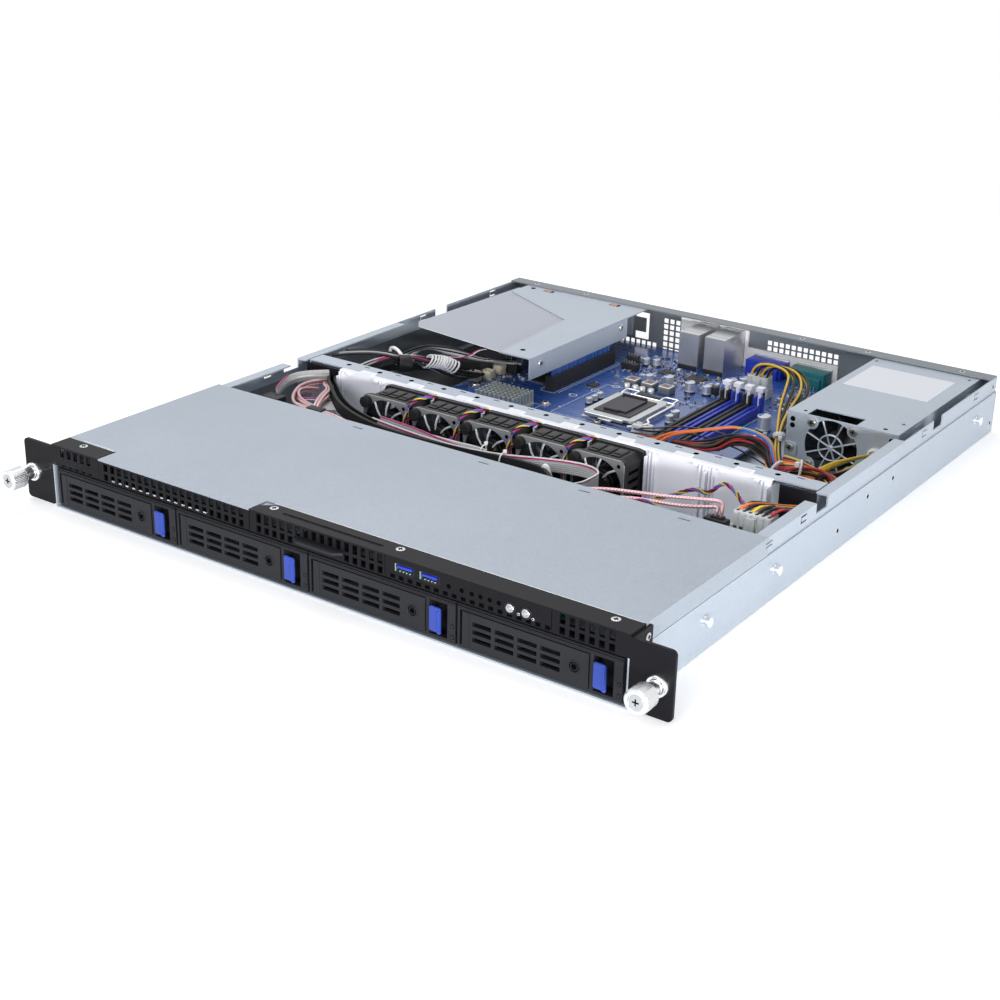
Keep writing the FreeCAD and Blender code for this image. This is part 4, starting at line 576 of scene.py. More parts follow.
class Kit:
    """Small parts of one sub-assembly, one form for each finish."""

    def __init__(self, name: str, body: str = "base") -> None:
        """Start an empty kit.

        Args:
            name: Name of the sub-assembly, which starts its pieces' names.
            body: The body that it rides on.
        """
        self.name = name
        self.body = body
        self.forms: dict[Finish, Form] = {}

    def of(self, finish: Finish) -> Form:
        return self.forms.setdefault(finish, Form())

    def hole(self, place: Point, along: Point, radius: float, lift: float, steps: int) -> None:
        """Add a flat disc of painted shade that reads as a hole."""
        self.of(OPENING_SHADE).turned(place, along, [(radius, lift), (0.0, lift)], steps)

    def screw(
        self, head: Point, along: Point, radius: float, proud: float = 0.5, finish: Finish = ZINC_AND_HIGHLIGHT,
    ) -> None:
        """Add a screw head with a cross recess.

        Args:
            head: Middle of the seat.
            along: Direction that the head faces.
            radius: Radius of the head.
            proud: How far it stands out.
            finish: Finish of the head.
        """
        self.of(finish).turned(
            head, along, [(radius, 0.0), (radius, proud * 0.5), (radius * 0.8, proud), (0.0, proud)], 20,
        )
        axis = Vector(along)
        face = Vector(head) + axis * proud
        across = axis.orthogonal().normalized()
        other = axis.cross(across)
        # The cross recess is painted shade: two thin dark bars.
        for way in (across + other, across - other):
            way = way.normalized() * radius * 0.5
            self.of(OPENING_SHADE).rod(tuple(face - way), tuple(face + way), radius * 0.13, sides=6)

    def done(self, replaces: dict[Finish, tuple[str, ...]] | None = None) -> None:
        """Args:
            replaces: For a finish, the nodes that its piece stands for.
        """
        for finish, form in self.forms.items():
            form.done(f"{self.name}_{finish.label}", finish, self.body, (replaces or {}).get(finish, ()))


def dress(finish: Finish, *nodes: str) -> None:
    """Give carried-over nodes a finish.

    Args:
        finish: The finish.
        nodes: Names of the nodes.
    """
    for name in nodes:
        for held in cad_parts[name].material_slots:
            held.material = finish.material()
        LOG.info("node %s dressed in %s", name, finish.label)


def traced(points: list[Point], fine: int = 10) -> list[Vector]:
    """Points along the smooth line that a route's points control.

    Args:
        points: Control points in panel millimetres.
        fine: Points between two control points.

    Returns:
        Points in metres.
    """
    data = bpy.data.curves.new("trace", "CURVE")
    data.dimensions = "3D"
    smooth_spline(data, [spot(*p) for p in points], fine)
    holder = bpy.data.objects.new("trace", data)
    mesh = bpy.data.meshes.new_from_object(holder)
    line = [v.co.copy() for v in mesh.vertices]
    bpy.data.objects.remove(holder)
    bpy.data.curves.remove(data)
    bpy.data.meshes.remove(mesh)
    return line


def smooth_spline(data: bpy.types.Curve, places: list[Vector], fine: int) -> None:
    """Add one smooth open spline to a curve.

    Args:
        data: The curve.
        places: Control points in metres.
        fine: Steps between two control points.
    """
    spline = data.splines.new("NURBS")
    spline.points.add(len(places) - 1)
    for point, place in zip(spline.points, places):
        point.co = (*place, 1.0)
    spline.order_u = 3
    spline.use_endpoint_u = True
    spline.resolution_u = fine


def lifted(line: list[Vector], rise: float) -> list[Vector]:
    """The same line, some millimetres higher."""
    return [p + Vector((0, 0, rise * MM)) for p in line]


class Loom:
    """Wires of one harness, one curve for each jacket colour."""

    def __init__(self, name: str, radius: float, body: str = "base") -> None:
        """Start an empty loom.

        Args:
            name: Name of the harness.
            radius: Radius of a wire, in millimetres.
            body: The body that it rides on.
        """
        self.name = name
        self.radius = radius
        self.body = body
        self.curves: dict[Finish, bpy.types.Curve] = {}

    def _curve(self, finish: Finish) -> bpy.types.Curve:
        """The curve that holds the wires of one colour.

        Args:
            finish: The jacket.

        Returns:
            The curve, made on first use.
        """
        if finish not in self.curves:
            data = bpy.data.curves.new(f"{self.name}_{finish.label}", "CURVE")
            data.dimensions = "3D"
            data.bevel_depth = self.radius * MM
            data.bevel_resolution = 2
            data.use_fill_caps = True
            data.materials.append(finish.material())
            self.curves[finish] = data
        return self.curves[finish]

    def wire(self, finish: Finish, points: list[Point], fine: int = 8) -> None:
        """Add one wire along control points."""
        smooth_spline(self._curve(finish), [spot(*p) for p in points], fine)

    def twist(self, finishes: list[Finish], points: list[Point], apart: float, pitch: float) -> None:
        """Add wires twisted about each other along one route.

        Args:
            finishes: Jacket of each wire.
            points: Control points of the route.
            apart: Distance of a wire from the route.
            pitch: Length of one full turn.
        """
        line = traced(points, 10)
        run = 0.0
        normal = Vector(TWIST_START)
        strands: list[list[Vector]] = [[] for _ in finishes]
        for k, here in enumerate(line):
            ahead = line[min(k + 1, len(line) - 1)] - line[max(k - 1, 0)]
            ahead.normalize()
            normal = (normal - ahead * normal.dot(ahead)).normalized()
            across = ahead.cross(normal)
            if k:
                run += (here - line[k - 1]).length / MM
            for j, strand in enumerate(strands):
                a = math.tau * (run / pitch + j / len(finishes))
                strand.append(here + (normal * math.cos(a) + across * math.sin(a)) * apart * MM)
        for finish, strand in zip(finishes, strands):
            smooth_spline(self._curve(finish), strand, 3)

    def done(self, replaces: tuple[str, ...] = ()) -> None:
        """Finish every curve of the loom.

        Args:
            replaces: Nodes that the loom stands for.
        """
        for finish, data in self.curves.items():
            piece = bpy.data.objects.new(data.name, data)
            bpy.context.scene.collection.objects.link(piece)
            settle(piece, self.body, replaces)
            replaces = ()


@dataclass
class Casing:
    """The folded steel body with its rail studs, screws and small holes."""

    half: float = 215.0
    stud_places: tuple[float, ...] = (77.0, 160.0, 480.0)
    stud_height: float = 20.0
    side_holes: tuple[Spot, ...] = ((332.0, 22.0), (292.0, 22.0), (249.0, 13.0))
    rear_screws: tuple[Spot, ...] = ((512.5, 36.3), (513.0, 8.5))
    cover_edge_highlights: tuple[Spot, ...] = ((-213.5, -173.5), (-33.0, 213.5))
    wall_step: float = 31.0
    step_in: float = 1.0

    def build(self) -> None:
        """Dress the sheets and add the small parts."""
        dress(STEEL, "chassis_tray", "drive_cage", "fan_bar")
        # Painted shade: the cover takes the darker copy of the steel.
        dress(SHADED_COVER_STEEL, "front_cover")
        # Painted shade: the rear panel takes the darker steel for the shade on its inside.
        dress(PAINTED_SHADE_STEEL, "rear_panel")
        studs = Kit("rail_studs")
        for side in (-1, 1):
            for y in self.stud_places:
                profile = [
                    (0, 0), (2.8, 0), (2.8, 0.8), (2, 1), (2, 3.4), (3.2, 3.6), (3.2, 4.6), (2.8, 5), (0, 5),
                ]
                studs.of(CHROME).turned((side * self.half, y, self.stud_height), (side, 0, 0), profile, 24)
        studs.done({CHROME: ("rail_studs",)})
        marks = Kit("casing")
        for side in (-1, 1):
            for y, z in self.side_holes:
                marks.of(ZINC_AND_HIGHLIGHT).turned(
                    (side * self.half, y, z), (side, 0, 0), [(2.9, 0), (2.7, 0.12), (1.5, 0.12), (1.5, 0)],
                    20,
                )
                marks.hole((side * self.half, y, z), (side, 0, 0), 1.5, 0.05, 16)
            for y, z in self.rear_screws:
                reach = self.half - (self.step_in if z > self.wall_step else 0)
                marks.screw((side * reach, y, z), (side, 0, 0), 2.4, 0.4)
        for x in (-190, -140, 60, 115, 190):
            marks.screw((x, 513, CASE_TOP), UP, 2.2, 0.1)
        # Painted highlight: thin bright strips along the cover's cut edges behind the front flange.
        for x0, x1 in self.cover_edge_highlights:
            marks.of(ZINC_AND_HIGHLIGHT).block((x0, 15, 42.4), (x1, 15.5, CASE_TOP + 0.05), 0.1)
        # Painted shade: thin dark steel sheets on the inside of the left wall stand for the shade there.
        for start, end in ((164, 231), (252, 505)):
            marks.of(PAINTED_SHADE_STEEL).block((-213.98, start, 1.4), (-213.7, end, 34))
        for z in (36.9, 39.3):
            marks.of(OPENING_SHADE).block((self.half - 0.02, 148, z), (self.half + 0.03, 156, z + 0.5))
        marks.done()


@dataclass
class FrontPanel:
    """The black front: panel, optical-bay blank, controls, slits and the pull-out tag."""

    screws: tuple[float, ...] = (-195.9, -33.6, 60.2, 200.1)
    lamps: tuple[float, ...] = (101.2, 109.8, 116.5, 122.3, 128.3, 134.2)
    lamp_height: float = 36.0
    button_places: tuple[tuple[float, str], ...] = ((141.5, "power_button"), (151.7, "id_button"))
    button_height: float = 35.4
    button_radius: float = 2.7
    slit_start: float = 61.0
    slit_pitch: float = 6.04
    corner_start: float = -206.0
    sockets: tuple[float, ...] = (64.3, 81.5)
    seams: tuple[float, ...] = (57.0, -44.4, 167.4)

    def build(self) -> None:
        """Dress the panel and add what is pierced or set into it."""
        dress(BLACK_PAINT, "front_panel", "optical_bay_blank")
        dress(BLACK_MOULD, "info_tag")
        dress(GREEN_BOARD, "front_io_board")
        self.buttons()
        marks = Kit("front_panel")
        for x in self.screws:
            marks.screw((x, 10, CASE_TOP), UP, 2.7, 0.12)
            marks.of(OPENING_SHADE).turned((x, 10, CASE_TOP), UP, [(3, 0), (3, MARK), (2.6, MARK)], 20)
        # Painted shade: dark blocks stand for the shade inside the vent slits.
        for k in range(18):
            x = self.slit_start + k * self.slit_pitch
            marks.of(OPENING_SHADE).block((x, -0.04, 30), (x + 3.2, 0.2, 32.4))
        for k in range(5):
            x = self.corner_start + k * self.slit_pitch
            marks.of(OPENING_SHADE).block((x, -0.04, 29.8), (x + 3.2, 0.2, 31))
        for x in self.lamps:
            marks.of(OPENING_SHADE).turned((x, 0, self.lamp_height), FORWARD, [(1.45, 0), (1.4, 0.05), (0, 0.05)], 16)
        for x, z in ((146.7, 33.2), (156, 33.1)):
            marks.of(ZINC_AND_HIGHLIGHT).turned((x, 0, z), FORWARD, [(0.9, 0), (0.8, 0.08), (0.5, 0.08)], 14)
            marks.hole((x, 0, z), FORWARD, 0.5, 0.05, 12)
        for x in self.seams:
            marks.of(OPENING_SHADE).block((x, -0.03, 30.5), (x + 0.35, 0.2, 42.4))
        for x in self.sockets:
            marks.of(BLUE_PART).block((x + 1.6, -0.2, 37), (x + 11.6, 6, 38.4), 0.15)
            shell = marks.of(CHIP)
            for low, high in (
                ((x + 12.8, 0, 34.4), (x + 13.2, 9, 39.6)), ((x, 0, 39.3), (x + 13.2, 9, 39.6)),
                ((x, 0, 34.4), (x + 13.2, 9, 34.7)),
            ):
                shell.block(low, high)
            bright = marks.of(TIN)
            bright.block((x, 0, 34.4), (x + 0.4, 9, 39.6))
            for k in range(4):
                bright.block((x + 2.6 + k * 2.3, 0.4, 34.7), (x + 3.6 + k * 2.3, 4, 35.4), 0.1)
        for y in (5.9, 7.9):
            marks.of(OPENING_SHADE).block((-24, y, CASE_TOP - 0.01), (50, y + 0.3, CASE_TOP + 0.02))
        # Painted light: a pale strip just behind the blank's lower holes stands for light showing through
        # them.
        marks.of(PALE_LABEL_AND_HIGHLIGHT).block((-161.8, 0.9, 29.6), (-79, 1.3, 30.8))
        # Painted highlight: pale lines along the cover's front edge beside the black corner pieces.
        for low, high in (((-203, 16.3), (-176.4, 16.8)), ((-37.6, 15.3), (56, 15.8))):
            marks.of(PALE_LABEL_AND_HIGHLIGHT).block((*low, CASE_TOP - 0.2), (*high, CASE_TOP + 0.05))
        marks.done()

    def buttons(self) -> None:
        """Turn the two plated buttons and the rings round them."""
        r = self.button_radius
        for x, name in self.button_places:
            cap = Kit(name, name)
            profile = [
                (0, 3), (r - 0.2, 3), (r - 0.2, -0.7), (r - 0.6, -1.1), (r * 0.55, -1.1), (r * 0.5, -0.8),
                (r * 0.42, -1.2), (0, -1.35),
            ]
            cap.of(BUTTON_CHROME).turned((x, 0, self.button_height), REARWARD, profile, 28)
            cap.done({BUTTON_CHROME: (name,)})
        rings = Kit("button_rings")
        for x, _ in self.button_places:
            rings.of(BLACK_MOULD).turned(
                (x, 0, self.button_height), FORWARD,
                [(r + 0.9, 0), (r + 0.7, 0.5), (r + 0.1, 0.5), (r + 0.1, 0)], 28,
            )
        rings.done()


@dataclass
class RackEars:
    """The two black ears with their captive thumbscrews."""

    axis_x: float = 232.55
    axis_z: float = 20.3
    knob: float = 7.2
    ribs: int = 44

    def build(self) -> None:
        """Dress the ears and turn the screws."""
        dress(BLACK_PAINT, "left_ear", "right_ear")
        fixed = Kit("ears")
        for side, name in ((-1, "left"), (1, "right")):
            x = side * self.axis_x
            kit = Kit(f"{name}_thumbscrew", f"{name}_thumbscrew")
            r = self.knob
            profile = [
                (0, -22.2), (4.4, -22.2), (4.6, -22.7), (r - 1, -23), (r - 0.3, -22.2), (r - 0.3, -11.8),
                (r - 1, -11), (4.2, -11), (4.2, -1), (2.4, -0.6), (2.4, 8.8), (1.7, 10), (0, 10),
            ]
            kit.of(CHROME).turned((x, 0, self.axis_z), REARWARD, profile, 40)
            for k in range(self.ribs):
                a = math.tau * k / self.ribs
                cx, cz = x + (r - 0.25) * math.cos(a), self.axis_z + (r - 0.25) * math.sin(a)
                kit.of(CHROME).rod((cx, -21.9, cz), (cx, -12.1, cz), 0.26, sides=5)
            kit.of(ZINC_AND_HIGHLIGHT).turned((x, -22.2, self.axis_z), FORWARD, [(4.2, 0), (4, 0.3), (0, 0.5)], 28)
            for way in ((1.9, 0), (0, 1.9)):
                kit.of(OPENING_SHADE).block(
                    (x - max(way[0], 0.4), -22.75, self.axis_z - max(way[1], 0.4)),
                    (x + max(way[0], 0.4), -22.3, self.axis_z + max(way[1], 0.4)),
                )
            kit.done({CHROME: (f"{name}_thumbscrew",)})
            ferrule = [(4.5, 0), (6.2, 0), (6.2, -2.4), (5.8, -3), (4.5, -3), (4.5, 0)]
            fixed.of(CHROME).turned((x, 0, self.axis_z), REARWARD, ferrule, 32)
            back = [(2.7, 2), (4.6, 2), (4.4, 3.8), (2.7, 3.8), (2.7, 2)]
            fixed.of(CHROME).turned((x, 0, self.axis_z), REARWARD, back, 28)
            fixed.screw((side * 217, 14.4, 36.3), (side, 0, 0), 2.4, 0.4)
        fixed.done()


@dataclass
class DriveTrays:
    """Four hot-swap trays with vented handles, lock rings and blue latches."""

    pitch: float = 106.1
    lock_at: float = 23.1
    lock_height: float = 13.8
    latch_low: float = 5.1
    latch_high: float = 21.1
    latch_left: float = 35.05
    latch_right: float = 42.55

    def build(self) -> None:
        """Dress the trays and add locks, latches and light windows."""
        for k in range(4):
            x = (k - 1.5) * self.pitch
            number = k + 1
            dress(BLACK_MOULD, f"drive_tray_{number}", f"tray_handle_{number}")
            self.lock(x, number)
            self.latch(x, number)
            self.windows(x, number)
        dress(GREEN_BOARD, "backplane")

    def lock(self, x: float, number: int) -> None:
        """The lock ring with its six-sided key hole, and the strip at the hinge.

        Args:
            x: Middle of the tray.
            number: Number of the tray.
        """
        kit = Kit(f"tray_lock_{number}", f"handle_{number}")
        middle = (x + self.lock_at, 0, self.lock_height)
        kit.of(BLACK_MOULD).turned(
            middle, FORWARD,
            [(3.7, 0), (3.6, 0.35), (3.1, 0.45), (2.9, 0.1), (2.2, 0.1), (2.1, 0.02), (0, 0.02)], 32,
        )
        kit.of(OPENING_SHADE).turned(middle, FORWARD, [(2.9, 0.12), (2.3, 0.12)], 32)
        kit.hole(middle, FORWARD, 1.9, 0.13, 6)
        kit.of(BLACK_MOULD).block((x - 45.4, -0.2, 4.6), (x - 44, 0.05, 23.4), 0.1)
        kit.done()

    def latch(self, x: float, number: int) -> None:
        """The blue sliding latch with a curled thumb edge and a black stem.

        Args:
            x: Middle of the tray.
            number: Number of the tray.
        """
        kit = Kit(f"tray_latch_{number}", f"latch_{number}")
        low, high = self.latch_low, self.latch_high
        left, right = x + self.latch_left, x + self.latch_right
        face = kit.of(BLUE_LATCH)
        outline = [
            (left, low + 1.6), (left + 0.8, low + 0.8), (right - 2.6, low + 0.8), (right - 1.2, low),
            (right, low), (right, high - 1.6), (right - 0.8, high - 0.4), (left + 0.8, high),
            (left, high - 0.8),
        ]
        face.sheet(outline, Side.Y, -0.5, 1.5, 0.3)
        kit.of(BLACK_MOULD).block((left + 1.4, 1.3, low + 2), (right - 2.2, 4.1, high - 2), 0.3)
        face.block((right - 1.3, -1.35, low + 2.6), (right - 0.2, 1, high - 1.4), 0.4)
        face.block((left + 0.6, -0.8, high - 1.5), (right - 1.6, 0, high - 0.6), 0.3)
        face.block((right - 1.6, -0.9, low + 0.2), (right + 0.4, 0.6, low + 2.2), 0.4)
        kit.done({BLUE_LATCH: (f"tray_latch_{number}",)})

    def windows(self, x: float, number: int) -> None:
        """The light windows and the ridged strip over the handle.

        Args:
            x: Middle of the tray.
            number: Number of the tray.
        """
        kit = Kit(f"tray_windows_{number}", f"tray_{number}")
        for z in (11.2, 4.6):
            kit.of(OPENING_SHADE).block((x + 49.3, 0.5, z), (x + 51.3, 0.8, z + 2.2))
            kit.of(CHIP).block((x + 49.6, 0.45, z + 0.3), (x + 51, 0.8, z + 1.9), 0.1)
        for z in (25, 26, 27):
            kit.of(BLACK_MOULD).block((x - 51.5, 0.3, z), (x + 51.5, 0.9, z + 0.45), 0.15)
        kit.done()


@dataclass
class FanRow:
    """The moulded fan holder with five fans, their rubber plugs and leads."""

    first: float = -107.5
    pitch: float = 43.5
    middle: float = 21.0
    front: float = 204.0
    back: float = 232.0
    half: float = 20.0
    bore: float = 18.5
    bar_top: float = 42.0

    def build(self) -> None:
        """Dress the holder and build the fans."""
        dress(WHITE_MOULD, "fan_bracket")
        frames = Kit("fan_frames")
        for k in range(5):
            self.fan(frames, self.first + k * self.pitch)
            self.rotor(k + 1, self.first + k * self.pitch)
        frames.done({FAN_BLACK: ("fan_frames",)})
        self.struts()
        self.holder_marks()
        self.leads()

    def fan(self, kit: Kit, x: float) -> None:
        """One housing: two flanges, a barrel, pads, screw holes and a rubber plug.

        Args:
            kit: Kit of all housings.
            x: Middle of the fan.
        """
        z, h, f, b = self.middle, self.half, self.front, self.back
        kit.of(FAN_RIM_SHEEN).bored(x, z, h - 0.05, 3, self.bore, f, f + 0.8)
        # Painted highlights along the flange's top and right edges.
        kit.of(FAN_EDGE_HIGHLIGHT).block(
            (x - h + 4, f + 0.15, z + h - 0.25), (x + h - 2.5, f + 0.75, z + h + 0.04), 0.1,
        )
        kit.of(FAN_EDGE_HIGHLIGHT).block(
            (x + h - 0.25, f + 0.15, z - h + 3), (x + h + 0.04, f + 0.75, z + h - 2.5), 0.1,
        )
        kit.of(FAN_BLACK).bored(x, z, h, 3, self.bore, f + 0.8, f + 4.2)
        kit.of(FAN_BLACK).bored(x, z, h - 1, 7, self.bore, f + 4.2, b - 4)
        kit.of(FAN_BLACK).bored(x, z, h, 3, self.bore, b - 4, b)
        for dx in (-8.5, 0, 8.5):
            kit.of(FAN_BLACK).block(
                (x + dx - 3.3, f + 7, z + h - 1.4), (x + dx + 3.3, b - 7.5, z + h - 0.1), 0.3,
            )
            kit.of(OPENING_SHADE).block((x + dx - 2.6, f + 9.5, z + h - 0.3), (x + dx + 2.6, f + 11, z + h - 0.07))
        for dz in (-9, -3, 3, 9):
            for side in (-1, 1):
                kit.of(OPENING_SHADE).block(
                    (x + side * (h - 0.95) - 0.1, f + 8, z + dz - 1),
                    (x + side * (h - 0.95) + 0.1, b - 8, z + dz + 1),
                )
        for dx, dz in ((16, 16), (16, -16), (-16, -16)):
            kit.of(FAN_RIM_SHEEN).turned(
                (x + dx, f, z + dz), FORWARD, [(2, 0), (1.9, 0.12), (1.4, 0.12), (1.4, 0)], 20,
            )
            kit.hole((x + dx, f, z + dz), FORWARD, 1.4, 0.06, 16)
        plug = [(0, 5.2), (3.4, 5.2), (4, 4.6), (4, 0.6), (3.6, 0), (0, 0)]
        kit.of(RUBBER).turned((x - 15.6, f, z + 15.4), FORWARD, plug, 24)
        motor = [(0, 0.4), (8.6, 0.4), (9.4, 1.2), (9.4, 3.4), (0, 3.4)]
        kit.of(FAN_BLACK).turned((x, f, z), REARWARD, motor, 32)
        kit.of(COPPER).turned((x + 6.4, f + 0.4, z + 4.6), FORWARD, [(0.9, 0), (0.8, 0.25), (0, 0.3)], 12)

    def rotor(self, number: int, x: float) -> None:
        """One rotor: a domed hub and seven swept blades.

        Args:
            number: Number of the fan.
            x: Middle of the fan.
        """
        kit = Kit(f"fan_rotor_{number}", f"rotor_{number}")
        hub = [(0, 4.2), (8.8, 4.2), (9.6, 5), (9.6, 22), (8.8, 23.2), (0, 23.2)]
        kit.of(FAN_BLACK).turned((x, self.front, self.middle), REARWARD, hub, 32)
        kit.of(FAN_BLACK).blades((x, self.front + 14, self.middle), 9.4, 17.6, 15, 7, 0.75)
        kit.done({FAN_BLACK: (f"fan_rotor_{number}",)})

    def struts(self) -> None:
        """The pale bent arms that carry each motor."""
        arms = Loom("fan_arms", 0.78)
        for k in range(5):
            x = self.first + k * self.pitch
            for degrees in (127, 87, 47, 322, 215):
                points = []
                for reach, lag in ((7, 5), (10.5, 5), (14, 1.5), (18.6, -4)):
                    a = math.radians(degrees + lag)
                    points.append(
                        (x + reach * math.cos(a), self.front + 0.9, self.middle + reach * math.sin(a))
                    )
                arms.wire(STRUT, points)
        arms.done()

    def holder_marks(self) -> None:
        """Ejector rings, ribs and clip tabs on the moulded holder, and the black flaps at its ends."""
        kit = Kit("fan_holder")
        for x0, x1 in ((-172, -131), (89.5, 129.5), (133, 173)):
            for x, z in ((x0 + 4.5, 37), (x1 - 4.5, 37), (x0 + 13, 5), (x1 - 4.5, 6)):
                kit.of(WHITE_MOULD).ring((x, 232, z), FORWARD, 2, 0.2, 20)
            for x in (x0, x0 + 2.4, x1 - 1, x1 - 3.4):
                kit.of(WHITE_MOULD).block((x, 229.4, 2), (x + 1, 232.2, 41), 0.3)
            for x in (x0 + 6, x1 - 9):
                kit.of(WHITE_MOULD).block((x, 229.8, 39.4), (x + 4, 232.2, 41), 0.3)
        for k in range(5):
            x = self.first + k * self.pitch + self.pitch / 2
            kit.of(WHITE_MOULD).ring((x + 1.5, 233.4, 39), REARWARD, 2.6, 0.7, 20)
        for k in range(13):
            x = -174.0 + k * 29.0
            kit.of(OPENING_SHADE).turned((x, 244, self.bar_top), UP, [(1.9, 0), (1.9, MARK), (0, MARK)], 16)
            kit.of(OPENING_SHADE).block((x + 12, 246.6, self.bar_top), (x + 17, 247.6, self.bar_top + MARK))
        kit.of(BLACK_PAINT).block((181, 232.6, 6), (206, 233.6, 40.8), 0.2)
        flap = [
            (-205, 41), (-205, 30.8), (-190, 34), (-179.5, 33.5), (-178.5, 12), (-172.6, 12), (-172.6, 41),
        ]
        kit.of(BLACK_PAINT).sheet(flap, Side.Y, 232.4, 0.8)
        kit.done()

    def leads(self) -> None:
        """The four-colour twisted leads that loop out between the fans."""
        loom = Loom("fan_leads", 0.55)
        colours = [YELLOW, BLUE, MAGENTA, BLACK]
        for k in range(4):
            x = self.first + (k + 0.5) * self.pitch
            loom.twist(
                colours,
                [
                    (x + 3, 231, 40.6), (x + 1, 224, 42), (x - 3, 213, 42), (x - 3.2, 202.5, 37),
                    (x - 2.4, 200, 24), (x - 0.5, 200.5, 12), (x + 1.5, 202, 4.5),
                ],
                0.75, 17,
            )
            loom.twist(
                colours,
                [
                    (x - 1.2, 207, 33), (x - 1.5, 201.5, 30), (x - 8, 199.5, 24.5), (x - 13, 199.2, 21),
                    (x - 15, 201.2, 18),
                ],
                0.7, 15,
            )
        loom.twist(
            colours,
            [
                (92, 203, 9), (104, 208, 18), (121, 212, 25.7), (133, 214, 32.2), (142, 214, 29.8),
                (152, 214, 41.6), (164, 208, 39.4), (173, 200, 36), (179, 196, 38.4),
            ],
            0.85, 17,
        )
        loom.twist(colours, [(110, 160, 31), (116, 168, 35.4), (126, 171, 35), (134, 172, 30.6)], 0.75, 26)
        loom.done()


